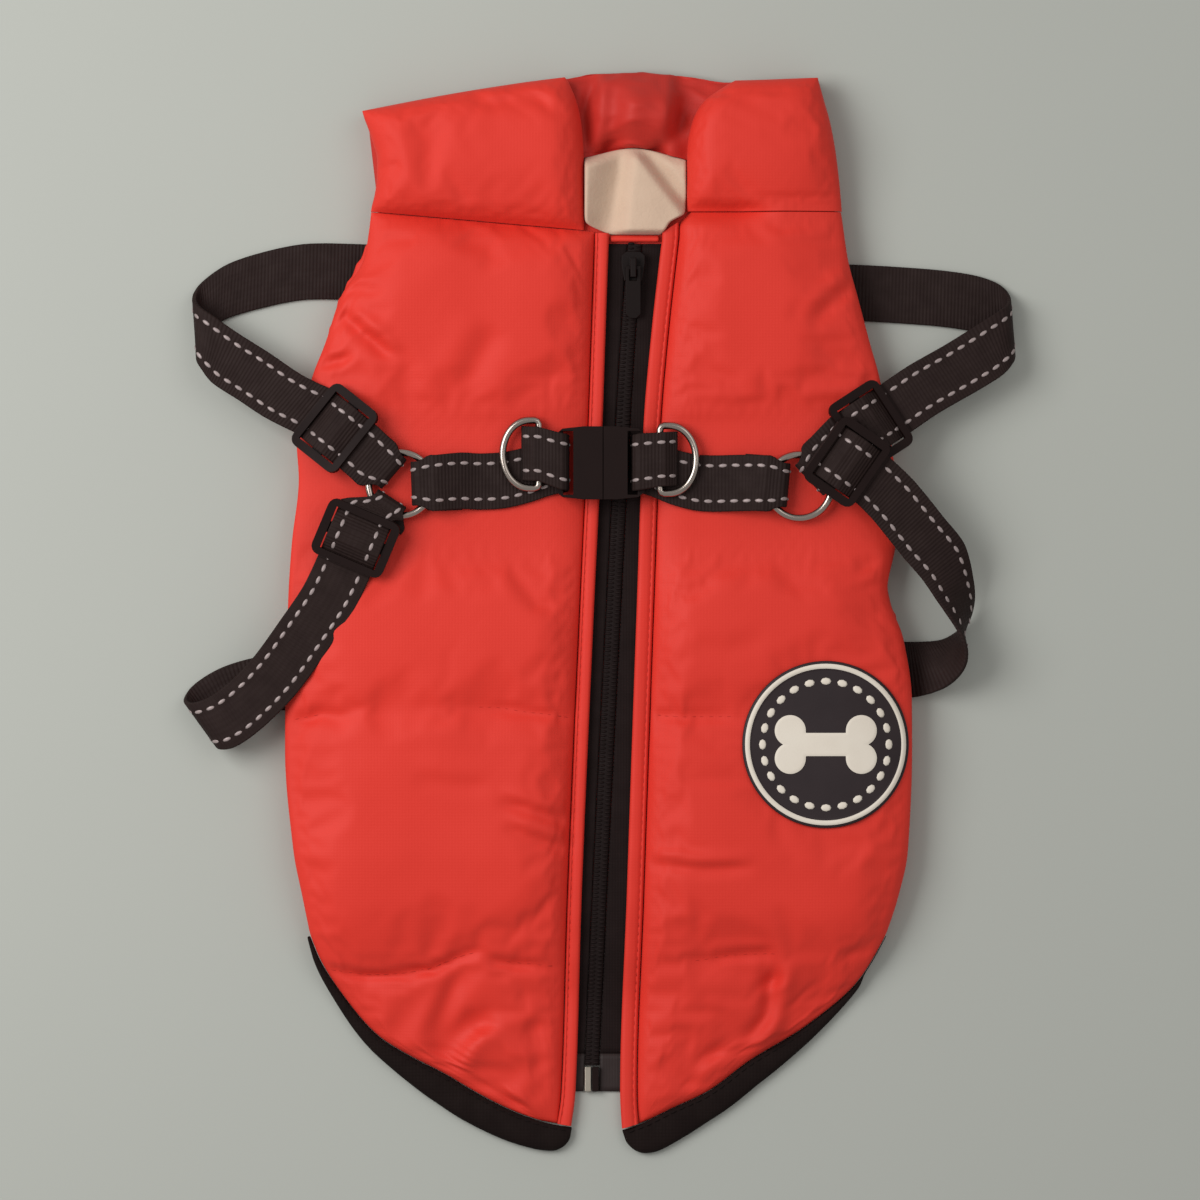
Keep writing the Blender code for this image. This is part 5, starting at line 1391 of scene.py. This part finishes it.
@dataclass
class HemBinding:
    """Folded binding along a tail's hem, with its stitches."""

    name: str
    table: Table
    outward: int
    panel: str
    hidden_from: float            # where it turns under the panel, along y
    count: int = 110              # of its cross sections
    folded: float = 0.0105        # width as folded, in metres

    def build(self, stitches: RepeatTree) -> None:
        """Make the binding from the side seam to the zip."""
        start, end = self.table[0][0], self.table[-1][0]
        rows = []
        for i in range(self.count):
            share = i / (self.count - 1)
            y = start + (end - start) * (1 - (1 - share) ** 1.8)
            rows.append((hermite(self.table, y, 1), y, hermite(self.table, y, 2)))
        sections, row = [], []
        profile = ((0.0, 0.0), (0.88, 0.0), (0.97, 0.16), (1.0, 0.45), (0.95, 0.74), (0.82, 0.92),
                   (0.6, 1.0), (0.35, 1.0), (0.15, 0.93), (0.05, 0.8), (0.0, 0.6))
        left = 0.0
        distances = [0.0]
        for a, b in zip(rows[::-1], rows[-2::-1]):
            left += math.dist(a[:2], b[:2])
            distances.append(left)
        distances.reverse()
        for i, (x, y, width) in enumerate(rows):
            before, after = rows[max(i - 1, 0)], rows[min(i + 1, self.count - 1)]
            tangent = Vector((after[0] - before[0], after[1] - before[1])).normalized()
            normal = Vector((tangent.y, -tangent.x)) * self.outward
            low = deck(y)
            tall = (2.2 + 1.6 * min(width / 6.0, 1.0)) * (1 + 0.05 * waviness(x, y, 7.0, 12.0))
            near_end = rounding(distances[i], 6.0)
            width *= 0.4 + 0.6 * near_end
            width *= 1 - 0.75 * smooth_step(y, self.hidden_from - 5.0, self.hidden_from)
            first = Vector((x, y)) + normal * SEAM
            sections.append([(first.x + normal.x * width * u, first.y + normal.y * width * u,
                              low + tall * v * (0.75 + 0.25 * near_end)) for u, v in profile])
            if width > 2.5 and distances[i] > 3.0:
                row.append(((first.x + normal.x * 1.3, first.y + normal.y * 1.3,
                             low + tall * 0.97), (0, 0, 1)))
        piece = loft(self.name + "_tape", sections, BINDING)
        fit(piece, self.name, soft=True)
        length = distances[0]
        stitches.lay(self.name + "_stitches", [row], 3.2, (2.4, 0.45, 0.35), 3.0)
        LOG.info("%s: %.0f mm long", self.name, length)


# ---------------- the harness
# Cross section of the webbing: shares of its half width and of its thickness
WEB_SHAPE = ((-1.0, -0.25), (-0.985, -0.42), (-0.94, -0.5), (-0.5, -0.5), (0.0, -0.5),
             (0.5, -0.5), (0.94, -0.5), (0.985, -0.42), (1.0, -0.25), (1.0, 0.25),
             (0.985, 0.42), (0.94, 0.5), (0.5, 0.5), (0.0, 0.5), (-0.5, 0.5), (-0.94, 0.5),
             (-0.985, 0.42), (-1.0, 0.25))
HALF_WEB = WEB_WIDTH / 2
DASH_CLEAR = 1.8                 # from a strap's end to its first reflective stitch


class Webbing:
    """Flat webbing between two edge lines, with a uv map in metres of its real length."""

    def __init__(self, name: str, stations: list[Row], reflective: int) -> None:
        """Keep the stations: edge a x, y, z and edge b x, y, z each.

        Args:
            name: of the CAD node that it stands for.
            stations: the two edge lines.
            reflective: 1 or -1 for the side with the stitches, 0 for none, 2 for both.
        """
        self.name = name
        self.stations = catmull(stations, 3)
        self.reflective = reflective
        self.middles = [(Vector(s[:3]) + Vector(s[3:])) / 2 for s in self.stations]
        self.length = sum((b - a).length for a, b in zip(self.middles, self.middles[1:]))

    def frames(self) -> list[tuple[Vector, Vector, Vector, float]]:
        """Middle, half width vector, face normal and distance along, at each station."""
        result, walked = [], 0.0
        for i, station in enumerate(self.stations):
            before = self.middles[max(i - 1, 0)]
            after = self.middles[min(i + 1, len(self.middles) - 1)]
            if i:
                walked += (self.middles[i] - self.middles[i - 1]).length
            half = (Vector(station[3:]) - Vector(station[:3])) / 2
            normal = (after - before).normalized().cross(half).normalized()
            result.append((self.middles[i], half, normal, walked))
        return result

    def build(self, dashes: RepeatTree, held: str, rests_on: list[str]) -> None:
        """Make the webbing and its reflective rows.

        Args:
            dashes: the tree that lays the reflective stitches.
            held: how the webbing is held; not used.
            rests_on: what it lies on; not used.
        """
        frames = self.frames()
        sections = [[middle + half * u + normal * WEB * v for u, v in WEB_SHAPE]
                    for middle, half, normal, _ in frames]
        piece = loft(self.name + "_web", sections, WEBBING, smooth=180.0)
        self._unwrap(piece, frames)
        fit(piece, self.name)
        sides = (1, -1) if self.reflective == 2 else (self.reflective,)
        paths = []
        for face in sides:
            for row in (-1, 1):
                paths.append([(middle + half * row * DASH_ROW / HALF_WEB
                               + normal * face * (WEB / 2 + 0.02), normal * face)
                              for middle, half, normal, walked in frames
                              if DASH_CLEAR < walked < self.length - DASH_CLEAR])
        if self.reflective:
            dashes.lay(self.name + "_web_dashes", paths, 4.6, (3.3, 1.4, 0.55), 4.0)
        LOG.info("%s: %.0f mm of webbing", self.name, self.length)

    @staticmethod
    def _unwrap(piece: bpy.types.Object, frames: list) -> None:
        """Give the webbing its uv map: across and along, in metres."""
        layer = piece.data.uv_layers.new(name="webbing")
        for corner, uv in zip(piece.data.loops, layer.data):
            station, around = divmod(corner.vertex_index, len(WEB_SHAPE))
            uv.uv = (WEB_SHAPE[around][0] * HALF_WEB * MM, frames[station][3] * MM)


def flat_station(centre: Row | Vector, across: Row | Vector, half: float) -> Row:
    """Station whose edges lie half a width either way of a centre, in the plan."""
    c = Vector(centre)
    w = Vector((across[0], across[1], 0.0)).normalized() * half
    return (*(c + w), *(c - w))


def ring_fold(centre: Row, fold: Row, side: int, spread: bool = True) -> list[Row]:
    """Stations of webbing from its tail under a ring, round the wire and back over it.

    Args:
        centre: of the ring, in plan.
        fold: heading, reach, tail, half widths right and left.
        side: 1 where edge a lies right of the heading, or -1.
        spread: False where a slider follows at once.

    Returns:
        The stations.
    """
    heading, reach, tail, right, left = fold
    direction = Vector((math.cos(math.radians(heading)), math.sin(math.radians(heading))))
    across = Vector((direction.y, -direction.x))
    rise = RING_WIRE + GAP + WEB / 2
    bend = reach + rise
    rows = [(tail, -rise, 1.0), (bend + FOLD_SPREAD, -rise, 1.0), (bend + 1.4, -rise, 0.45),
            (bend, -rise, 0.15)]
    for k in range(1, 6):
        a = math.pi * k / 6
        rows.append((bend - rise * math.sin(a), -rise * math.cos(a), 0.0))
    rows += [(bend, rise, 0.15), (bend + 1.4, rise, 0.45)]
    if spread:
        rows += [(bend + FOLD_SPREAD, rise, 1.0), (bend + FOLD_SPREAD + 2.2, rise, 1.0)]
    stations = []
    for r, h, share in rows:
        middle = Vector((*(Vector(centre) + direction * r), RING_Z + h))
        ends = []
        for width, sign in ((right, 1), (left, -1)):
            half = width + (HALF_WEB - 0.1 - width) * share
            ends.append(middle + sign * half * across.to_3d())
        stations.append((*ends[0], *ends[1]) if side == 1 else (*ends[1], *ends[0]))
    return stations


def slider_stations(key: str, side: int) -> list[Row]:
    """Webbing woven under the end bars of a slider and over its middle bar."""
    x, y, z, heading, fall = SLIDERS[key]
    a = math.radians(heading)
    along = Vector((math.cos(a), math.sin(a), -fall)).normalized()
    across = Vector((-math.sin(a), math.cos(a), 0.0))
    face = along.cross(across)
    low, high = -0.1, 2.9
    bar = SLIDER_LENGTH / 2 - SLIDER_END
    rows = ((-bar - 2.9, low), (-bar, low), (-2.6, high - 0.15), (-1.4, high), (1.4, high),
            (2.6, high - 0.15), (bar, low), (bar + 2.9, low))
    edge = across * (-side * HALF_WEB)
    stations = []
    for s, h in rows:
        centre = Vector((x, y, z)) + along * s + face * h
        stations.append((*(centre + edge), *(centre - edge)))
    return stations


def loop_stations(key: str, side: int, fold: list[Row]) -> list[Row]:
    """Stations of one harness loop, from its ring to its end under the belly layer."""
    stations = fold + slider_stations(key, side)
    table = LOOPS[key]
    return stations + [(*row[:2], max(row[2], WEB / 2), *row[3:5], max(row[5], WEB / 2))
                       for row in catmull([stations[-1], *table], 2)[1:]]


def chest_stations(ring: Row, sign: int, fold: Row, table: Table, bar_ys: Row, d_ring: Row,
                   end: Row) -> list[Row]:
    """Stations of a chest strap: ring, buckle bar, and back over the D-ring's bar.

    Args:
        ring: centre of the junction ring, in plan.
        sign: 1 for the left strap, -1 for the right one.
        fold: the webbing's fold round the junction ring.
        table: middle line from there to the buckle.
        bar_ys: y before and after the buckle's bar.
        d_ring: place of the D-ring's straight side, in plan.
        end: where the folded-back end stops, in plan.

    Returns:
        The stations.
    """
    stations = ring_fold(ring, fold, -sign)
    low = STRAP_FLAT + GAP + WEB / 2
    centres = [(x, y, low + (WEB + GAP + 0.1 if i == 0 else 0.0))
               for i, (x, y) in enumerate(table)]
    bar_x = BUCKLE_X - sign * BUCKLE_BAR
    for k in range(7):
        a = math.pi * k / 6
        centres.append((bar_x + sign * BAR_BEND * math.sin(a),
                        bar_ys[0] + (bar_ys[1] - bar_ys[0]) * k / 6,
                        low + BAR_BEND - BAR_BEND * math.cos(a)))
    stations += [flat_station(centre, (0, 1), HALF_WEB) for centre in centres]
    x, y = d_ring
    over = STRAP_FLAT + 3 * GAP + WEB + 2 * D_WIRE + WEB / 2
    drop = low + WEB + GAP
    tab = [(x + sign * dx, y + dy, z) for dx, dy, z in (
        (0.0, 0.0, over), (-1.6, 0.1, over - 0.1), (-5.0, 0.3, drop + 0.2))]
    return stations + [flat_station(centre, (0, 1), TAB_HALF)
                       for centre in (*tab, (*end, drop + 0.1))]


@dataclass
class Harness:
    """Webbing, rings, sliders and buckle sewn to the coat."""

    dashes: RepeatTree = field(default_factory=lambda: RepeatTree("reflective_row", REFLECTIVE))

    def build(self) -> None:
        """Make every part of the harness."""
        self._straps()
        self._rings()
        for key in SLIDERS:
            # Sliders and buckle wear near-black acetal tinted with a painted red reflection from
            # the cloth.
            moulded("slider_" + key + "_moulded", "slider_" + key, ACETAL_RED_BOUNCE, 0.7)
        moulded("buckle_socket_moulded", "buckle_socket", ACETAL_RED_BOUNCE, 0.6)
        moulded("buckle_clip_moulded", "buckle_clip", ACETAL_RED_BOUNCE, 0.5)

    def _straps(self) -> None:
        """Make the loops, the chest straps and the straps under the belly."""
        loops = {
            "upper_left": (1, ring_fold(RING_LEFT, FOLD_UPPER_LEFT, 1)),
            "lower_left": (1, ring_fold(RING_LEFT, FOLD_LOWER_LEFT, 1, spread=False)),
            "upper_right": (-1, ring_fold(RING_RIGHT, FOLD_UPPER_RIGHT, -1)),
            "lower_right": (1, []),
        }
        for key, (side, fold) in loops.items():
            strap = Webbing("loop_" + key, loop_stations(key, side, fold), side)
            panel = "zip_side_panel_" + key.split("_")[1] + "_padded"
            strap.build(self.dashes, "laid", [panel, "the table"])
        chest = (
            ("left", RING_LEFT, 1, FOLD_CHEST_LEFT, CHEST_LEFT, (53.0, 54.4), D_RING_LEFT,
             (-27.2, 57.2)),
            ("right", RING_RIGHT, -1, FOLD_CHEST_RIGHT, CHEST_RIGHT, (53.0, 54.1), D_RING_RIGHT,
             (27.6, 55.3)),
        )
        for name, *facts in chest:
            strap = Webbing("chest_strap_" + name, chest_stations(*facts), 2)
            strap.build(self.dashes, "folded", ["zip_side_panel_" + name + "_padded"])
        for name, (y, slope, x0, x1) in (("upper", UPPER_STRAP), ("lower", LOWER_STRAP)):
            rows = [flat_station((x, y + slope * x, WEB / 2), (-slope, 1.0), HALF_WEB)
                    for x in steps(x0, x1, 13)]
            Webbing("under_strap_" + name, rows, 0).build(self.dashes, "laid", ["the table"])

    def _rings(self) -> None:
        """Make the junction rings and the two D-rings."""
        for name, centre in (("left", RING_LEFT), ("right", RING_RIGHT)):
            path = [Vector((*place, RING_Z))
                    for place in round_points(*centre, (RING_RADIUS, RING_RADIUS), 72)]
            ring = tube("junction_ring_" + name + "_wire", path, RING_WIRE, NICKEL)
            fit(ring, "junction_ring_" + name)
        z = STRAP_FLAT + GAP + WEB + GAP + D_WIRE
        for name, (x, y), outward in (("left", D_RING_LEFT, -1), ("right", D_RING_RIGHT, 1)):
            path = [Vector((D_LEG + D_BOW * math.sin(math.pi * k / 40),
                            D_HALF * math.cos(math.pi * k / 40))) for k in range(41)]
            path += [Vector((1.6, -D_HALF)), Vector((0.5, -D_HALF + 0.4)),
                     Vector((0.0, -D_HALF + 1.3)), Vector((0.0, 0.0)),
                     Vector((0.0, D_HALF - 1.3)), Vector((0.5, D_HALF - 0.4)),
                     Vector((1.6, D_HALF))]
            ring = tube("d_ring_" + name + "_wire",
                        [Vector((x + outward * p.x, y + p.y, z)) for p in path], D_WIRE, NICKEL)
            fit(ring, "d_ring_" + name, "lead_ring_" + name)
        LOG.info("rings")


# ---------------- the zip
@dataclass
class Zip:
    """Coil zip: two tapes, the closed coil, slider, pull, retainer box and pin."""

    top: float = 131.6
    tape_end: float = -169.8
    coil_end: float = -160.6
    fused_from: float = -156.4
    tooth: float = 1.5
    tape_rows: int = 120
    fused_rows: int = 8
    tape_columns: int = 8
    tape_under: float = 1.6       # how far a tape runs under its placket

    def build(self) -> None:
        """Make the tapes, the coil and the small parts."""
        for name, side in (("left", 1), ("right", 2)):
            woven = "zip_tape_" + name + "_woven"
            tape = self._tape(woven, side, self.top, self.fused_from, self.tape_rows, ZIP_TAPE)
            fit(tape, "zip_tape_" + name)
            fit(self._tape(woven + "_fused_end", side, self.fused_from, self.tape_end,
                           self.fused_rows, ZIP_TAPE_END))
        LOG.info("zip tapes")
        self._coil()
        moulded("zip_slider_cast", "zip_slider", ENAMEL, 0.3)
        moulded("zip_pull_cast", "zip_pull", ENAMEL, 0.2, "zip_tab")
        moulded("zip_box_moulded", "zip_box", ACETAL_RED_BOUNCE, 0.25)
        moulded("zip_pin_drawn", "zip_pin", TIN, 0.35)

    def _tape(self, name: str, side: int, high: float, low: float, rows: int,
              finish: Finish) -> bpy.types.Object:
        """Make a stretch of one tape, from the coil to under the placket.

        Args:
            name: the piece's name.
            side: 1 for the left tape, 2 for the right one.
            high: y where it starts.
            low: y where it ends.
            rows: how many rows of points it has.
            finish: its finish.

        Returns:
            The new object.
        """
        sign, last = -1 if side == 1 else 1, self.tape_columns - 1
        grid = []
        for y in steps(high, low, rows):
            edge = hermite(ZIP_EDGES, y, side) + sign * self.tape_under
            near = zip_middle(y) + sign * (COIL_HALF + SEAM)
            row = []
            for k in range(self.tape_columns):
                x = near + (edge - near) * k / last
                dip = 0.12 * math.sin(math.pi * k / last)
                swell = 0.06 * waviness(x, y, 6.0, 40.0 + side)
                row.append(((x, y, deck(y) + TAPE - dip + swell), (x, y, deck(y))))
            grid.append(row)
        return grid_solid(name, grid, finish)

    def _coil(self) -> None:
        """Make the coil's teeth on their core, joined in one piece."""
        teeth = RepeatTree("coil_teeth", NYLON_COIL)
        paths = []
        for sign in (-1, 1):
            start = self.top - (0.0 if sign < 0 else self.tooth / 2)
            paths.append([((zip_middle(y) + sign * 1.3, y, deck(y) + 1.15), (0, 0, 1))
                          for y in steps(start, self.coil_end + 1.0, 150)])
        teeth.lay("zip_coil_teeth", paths, self.tooth, (1.15, 2.7, 1.9))
        profile = ((-COIL_HALF, 0.0), (-COIL_HALF, 0.7), (-2.0, 1.3), (-0.5, 1.55), (0.5, 1.55),
                   (2.0, 1.3), (COIL_HALF, 0.7), (COIL_HALF, 0.0))
        sections = []
        for y in steps(self.top, self.coil_end, 120):
            middle, floor = zip_middle(y), deck(y)
            sections.append([(middle + dx, y, floor + dz) for dx, dz in profile])
        fit(loft("zip_coil_core", sections, NYLON_COIL), "zip_coil")
        LOG.info("zip coil")


# ---------------- the badge
@dataclass
class Badge:
    """Round soft badge on the right panel: white rim, a plain bone, a ring of dashes."""

    thick: float = 0.9
    lift: float = 0.25            # of its underside over the cloth
    around: int = 96              # points round it
    dash_radius: float = 22.4
    dashes: int = 24

    def build(self, panel: bpy.types.Object) -> None:
        """Lay the badge and its raised parts on the finished panel.

        Args:
            panel: the right zip-side panel.
        """
        surface = Surface(panel)
        cx, cy = BADGE_CENTRE
        height = self._stiff_floor(surface)
        radii = [0.01, 3, 6, 9, 12, 15, 18, 21, 24, 26, 26.9, 27.1, 27.7, 28.4, 28.6, 29.2,
                 BADGE_RADIUS]
        raised = {27.1: 0.25, 27.7: 0.3, 28.4: 0.25, 29.2: -0.05, BADGE_RADIUS: -0.4}
        top, low = [], []
        for r in radii:
            places = round_points(cx, cy, (r, r), self.around)
            floors = [height(x, y) + self.lift for x, y in places]
            top.append([(x, y, z + self.thick + raised.get(r, 0.0))
                        for (x, y), z in zip(places, floors)])
            low.append([(x, y, z) for (x, y), z in zip(places, floors)])
        disc = loft("badge_disc", top + low[::-1], BADGE_BLACK)
        disc.data.materials.append(BADGE_WHITE.material())
        first, last = radii.index(26.9) * self.around, radii.index(28.6) * self.around
        for polygon in disc.data.polygons:
            if all(first <= v < last + self.around for v in polygon.vertices):
                polygon.material_index = 1
        fit(disc, "badge")

        def face(x: float, y: float) -> float:
            """Height of the badge's own face there."""
            return height(x, y) + self.lift + self.thick

        self._raised("badge_bone", self._bone_distance, (18.6, 11.4), face)
        marks = RepeatTree("badge_marks", BADGE_WHITE)
        places = round_points(cx, cy, (self.dash_radius, self.dash_radius), self.around)
        ring = [((x, y, face(x, y) + 0.02), surface.upright(x, y, 4.0))
                for x, y in (*places, places[0])]
        marks.lay("badge_marks", [ring], math.tau * self.dash_radius / self.dashes,
                  (3.9, 2.7, 0.8))
        LOG.info("badge")

    def _stiff_floor(self, surface: Surface, step: float = 1.6) -> Measure:
        """Floor of the badge: the panel's surface, smoothed as the stiff disc bridges its dips.

        Args:
            surface: of the finished panel.
            step: from one sample to the next.

        Returns:
            A function that gives the floor's height at a place.
        """
        cx, cy = BADGE_CENTRE
        count = 2 * int((BADGE_RADIUS + 4) / step) + 1
        reach = (count - 1) / 2 * step
        low, last = np.zeros((count, count)), 12.0
        for i in range(count):
            for j in range(count):
                last = surface.height(cx - reach + i * step, cy - reach + j * step, last)
                low[i, j] = last
        smooth = low.copy()
        for _ in range(10):
            padded = np.pad(smooth, 1, mode="edge")
            smooth = (padded[:-2, 1:-1] + padded[2:, 1:-1] + padded[1:-1, :-2]
                      + padded[1:-1, 2:] + 4 * smooth) / 8
        grid = np.hypot(*np.meshgrid(*[np.linspace(-reach, reach, count)] * 2, indexing="ij"))
        smooth += min(0.7, float(np.max((low - smooth)[grid < BADGE_RADIUS])))

        def height(x: float, y: float) -> float:
            """Height of the floor there."""
            u = min(max((x - cx + reach) / step, 0.0), count - 1.001)
            v = min(max((y - cy + reach) / step, 0.0), count - 1.001)
            i, j = int(u), int(v)
            a, b = u - i, v - j
            return float((1 - a) * ((1 - b) * smooth[i, j] + b * smooth[i, j + 1])
                         + a * ((1 - b) * smooth[i + 1, j] + b * smooth[i + 1, j + 1]))

        return height

    @staticmethod
    def _bone_distance(x: float, y: float) -> float:
        """Distance from a plain dog bone's outline, below zero inside it."""
        knob = math.hypot(abs(x) - 12.6, abs(y) - 4.9) - 5.5
        shaft = max(abs(x) - 12.6, abs(y) - 4.1)
        return min(knob, shaft)

    def _raised(self, name: str, distance: Measure, half: tuple[float, float],
                face: Measure, cell: float = 0.5) -> None:
        """Raise a flat shape on the badge.

        Args:
            name: the piece's name.
            distance: function of the distance from the shape's outline.
            half: half of the box that the shape fits in.
            face: function that gives the badge's height at a place.
            cell: size of its mesh's squares.
        """
        cx, cy = BADGE_CENTRE
        nx, ny = int(half[0] / cell) + 2, int(half[1] / cell) + 2
        cells = [(i, j) for i in range(-nx, nx) for j in range(-ny, ny)
                 if distance((i + 0.5) * cell, (j + 0.5) * cell) < 0]
        uses: dict[tuple[int, int], int] = {}
        for i, j in cells:
            for key in ((i, j), (i + 1, j), (i + 1, j + 1), (i, j + 1)):
                uses[key] = uses.get(key, 0) + 1
        index = {key: k for k, key in enumerate(uses)}
        places = []
        for (i, j), shared in uses.items():
            x, y = i * cell, j * cell
            for _ in range(0 if shared == 4 else 5):
                gap = distance(x, y)
                dx = (distance(x + 0.02, y) - distance(x - 0.02, y)) / 0.04
                dy = (distance(x, y + 0.02) - distance(x, y - 0.02)) / 0.04
                size = max(dx * dx + dy * dy, 0.5)
                x, y = x - gap * dx / size, y - gap * dy / size
            places.append((x, y))
        quads = [(index[(i, j)], index[(i + 1, j)], index[(i + 1, j + 1)], index[(i, j + 1)])
                 for i, j in cells]
        floors = [face(cx + x, cy + y) for x, y in places]
        count = len(places)
        points = [(cx + x, cy + y, z + 0.2 + 0.22 * smooth_step(-distance(x, y), 0.0, 0.7))
                  for (x, y), z in zip(places, floors)]
        points += [(cx + x, cy + y, z - 0.15) for (x, y), z in zip(places, floors)]
        edges = dict.fromkeys(pair for quad in quads for pair in zip(quad, (*quad[1:], quad[0])))
        rim = [(a, b) for a, b in edges if (b, a) not in edges]
        faces = quads + [tuple(count + v for v in reversed(quad)) for quad in quads]
        faces += [(b, a, count + a, count + b) for a, b in rim]
        fit(mesh_object(name, points, faces, BADGE_WHITE, smooth=50.0))


# ---------------- the rest of the coat
@dataclass
class LegBindings:
    """Rounded bindings in the two leg holes of the belly side."""

    count: int = 72               # of cross sections round a hole

    def build(self) -> None:
        """Make both bindings."""
        outer = (LEG_HALF[0] - GAP, LEG_HALF[1] - GAP)
        profile = ((0.0, 0.1), (1.2, 0.0), (LEG_BINDING - 0.8, 0.0), (LEG_BINDING - 0.2, 0.5),
                   (LEG_BINDING, 1.4), (LEG_BINDING, 5.4), (LEG_BINDING - 0.4, 6.6),
                   (LEG_BINDING - 1.3, 7.3), (1.0, 7.4), (0.0, 7.2))
        for name, (x, y) in LEG_HOLES.items():
            sections = []
            for k in range(self.count):
                a = math.tau * k / self.count
                swell = 0.12 * waviness(6 * math.cos(a), 6 * math.sin(a), 1.0, 50.0)
                sections.append([(x + (outer[0] - inset) * math.cos(a),
                                  y + (outer[1] - inset) * math.sin(a),
                                  max(0.0, z + (swell if z > 5 else 0.0)))
                                 for inset, z in profile])
            ring = loft("leg_binding_" + name + "_tape", sections, BINDING, closed=True)
            fit(ring, "leg_binding_" + name, soft=True)
        LOG.info("leg bindings")


@dataclass
class BellyHem:
    """Folded binding along the belly side's hem, which the zip side covers."""

    y: float = -116.3
    inset: float = 2.5            # of its ends from the side seams

    def build(self) -> None:
        """Make the binding from one side to the other."""
        left = hermite(BODY_SIDES, self.y, 1) + self.inset
        right = hermite(BODY_SIDES, self.y, 2) - self.inset
        profile = ((0.0, 0.0), (-3.0, 0.0), (-3.6, 0.5), (-3.8, 1.5), (-3.6, 2.5), (-3.0, 3.2),
                   (-1.6, 3.7), (0.0, 3.8))
        sections = []
        for x in steps(left, right, 60):
            swell = 1 + 0.04 * waviness(x, 0.0, 8.0, 60.0)
            sections.append([(x, self.y + dy, z * swell) for dy, z in profile])
        fit(loft("belly_hem_tape", sections, BINDING), "belly_hem_binding", soft=True)
        LOG.info("belly hem binding")


@dataclass
class QuiltStitches:
    """Rows of stitches where the quilting channels of the zip-side panels are open."""

    def build(self, stitches: RepeatTree, panels: dict[int, ZipSidePanel]) -> None:
        """Lay each row on its finished panel.

        Args:
            stitches: the tree that lays red thread.
            panels: the two zip-side panels by side.
        """
        for side, panel in panels.items():
            surface = Surface(panel.piece)
            paths = []
            for line in (STRAP_QUILT, HEM_QUILT):
                start, end = inner_x(line, side), outer_x(line, side)
                path = []
                for k in range(80):
                    x = start + (end - start) * (0.03 + 0.93 * k / 79)
                    if panel.quilting(x, line) < QUILT_STITCHED:
                        if len(path) > 3:
                            paths.append(path)
                        path = []
                        continue
                    y = panel.quilt_line(x, line)
                    path.append(((x, y, surface.height(x, y) - 0.09), surface.upright(x, y)))
                if len(path) > 3:
                    paths.append(path)
            name = "quilt_stitches_left" if side == 1 else "quilt_stitches_right"
            stitches.lay(name, paths, 3.1, (2.3, 0.32, 0.28), 3.0)
        LOG.info("quilting stitches")


@dataclass
class Studio:
    """Plain pale floor, soft lights and a camera straight above."""

    width: float = 0.426          # of the photographed square, in metres
    centre: tuple[float, float] = (0.00036, 0.00515)
    height: float = 3.0
    sensor: float = 36.0

    def build(self) -> None:
        """Make the floor, the lights, the sky and the camera."""
        floor = mesh_object("table_top", [(-3000, -3000, -0.05), (3000, -3000, -0.05),
                                          (3000, 3000, -0.05), (-3000, 3000, -0.05)],
                            [(0, 1, 2, 3)], TABLE_TOP)
        for name, place, size, power in (
                ("key", (-0.70, 0.28, 0.80), 0.70, 9.5), ("fill", (0.8, 0.5, 1.4), 1.0, 3.5)):
            light = bpy.data.lights.new(name, "AREA")
            light.shape = "SQUARE"
            light.size = size
            light.energy = power
            lamp = placed_object(name, light)
            lamp.location = place
            lamp.rotation_euler = (-Vector(place)).to_track_quat("-Z", "Y").to_euler()
        world = bpy.data.worlds.new("soft_studio")
        world.use_nodes = True
        sky = world.node_tree.nodes["Background"]
        sky.inputs["Color"].default_value = linear("#F4F3F2")
        sky.inputs["Strength"].default_value = 0.48
        bpy.context.scene.world = world
        camera = bpy.data.cameras.new("camera")
        camera.sensor_width = self.sensor
        camera.lens = self.sensor * (self.height - 0.01) / self.width
        camera.clip_end = 20.0
        shot = placed_object("camera", camera)
        shot.location = (*self.centre, self.height)
        bpy.context.scene.camera = shot
        bpy.context.scene.view_settings.view_transform = "Standard"
        LOG.info("studio")


def main() -> None:
    """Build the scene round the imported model, piece by piece."""
    logging.basicConfig(level=logging.INFO, format="%(message)s", stream=sys.stdout)
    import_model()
    Studio().build()
    red = RepeatTree("red_stitches", THREAD_RED)
    black = RepeatTree("black_stitches", THREAD_BLACK)
    BellyPanel().build()
    LegBindings().build()
    BellyHem().build()
    panels = {}
    for side, name, creases in ((1, "left", LEFT_CREASES), (2, "right", RIGHT_CREASES)):
        panels[side] = ZipSidePanel("zip_side_panel_" + name, TAFFETA, creases, slack=0.018,
                                    seed=float(10 * side), side=side)
        panels[side].build()
    for name, creases, seed, table, seam in (
            ("left", WING_LEFT_CREASES, 4.0, WING_LEFT, SEAM_LEFT),
            ("right", WING_RIGHT_CREASES, 6.0, WING_RIGHT, SEAM_RIGHT)):
        CollarWing("collar_wing_" + name, TAFFETA, creases, slack=0.016, seed=seed,
                   table=table, seam=seam).build()
    # The far collar wears the red cloth coloured darker: painted shade.
    FarCollar("collar_far_side", TAFFETA_PAINTED_SHADE, FAR_CREASES, seed=8.0, fill=0.5).build()
    NeckPieces().build()
    for side, ends, foot in ((1, (135.4, -182.1), 0.8), (2, (138.4, -183.1), 1.8)):
        Placket(side, ends, foot).build(red)
    for name, table, outward, hidden_from in (("left", HEM_LEFT, 1, -100.0),
                                              ("right", HEM_RIGHT, -1, -127.0)):
        HemBinding("hem_binding_" + name, table, outward, "zip_side_panel_" + name + "_padded",
                   hidden_from).build(black)
    QuiltStitches().build(red, panels)
    Zip().build()
    Badge().build(panels[2].piece)
    Harness().build()
    bpy.context.view_layer.update()


if __name__ == "__main__":
    main()
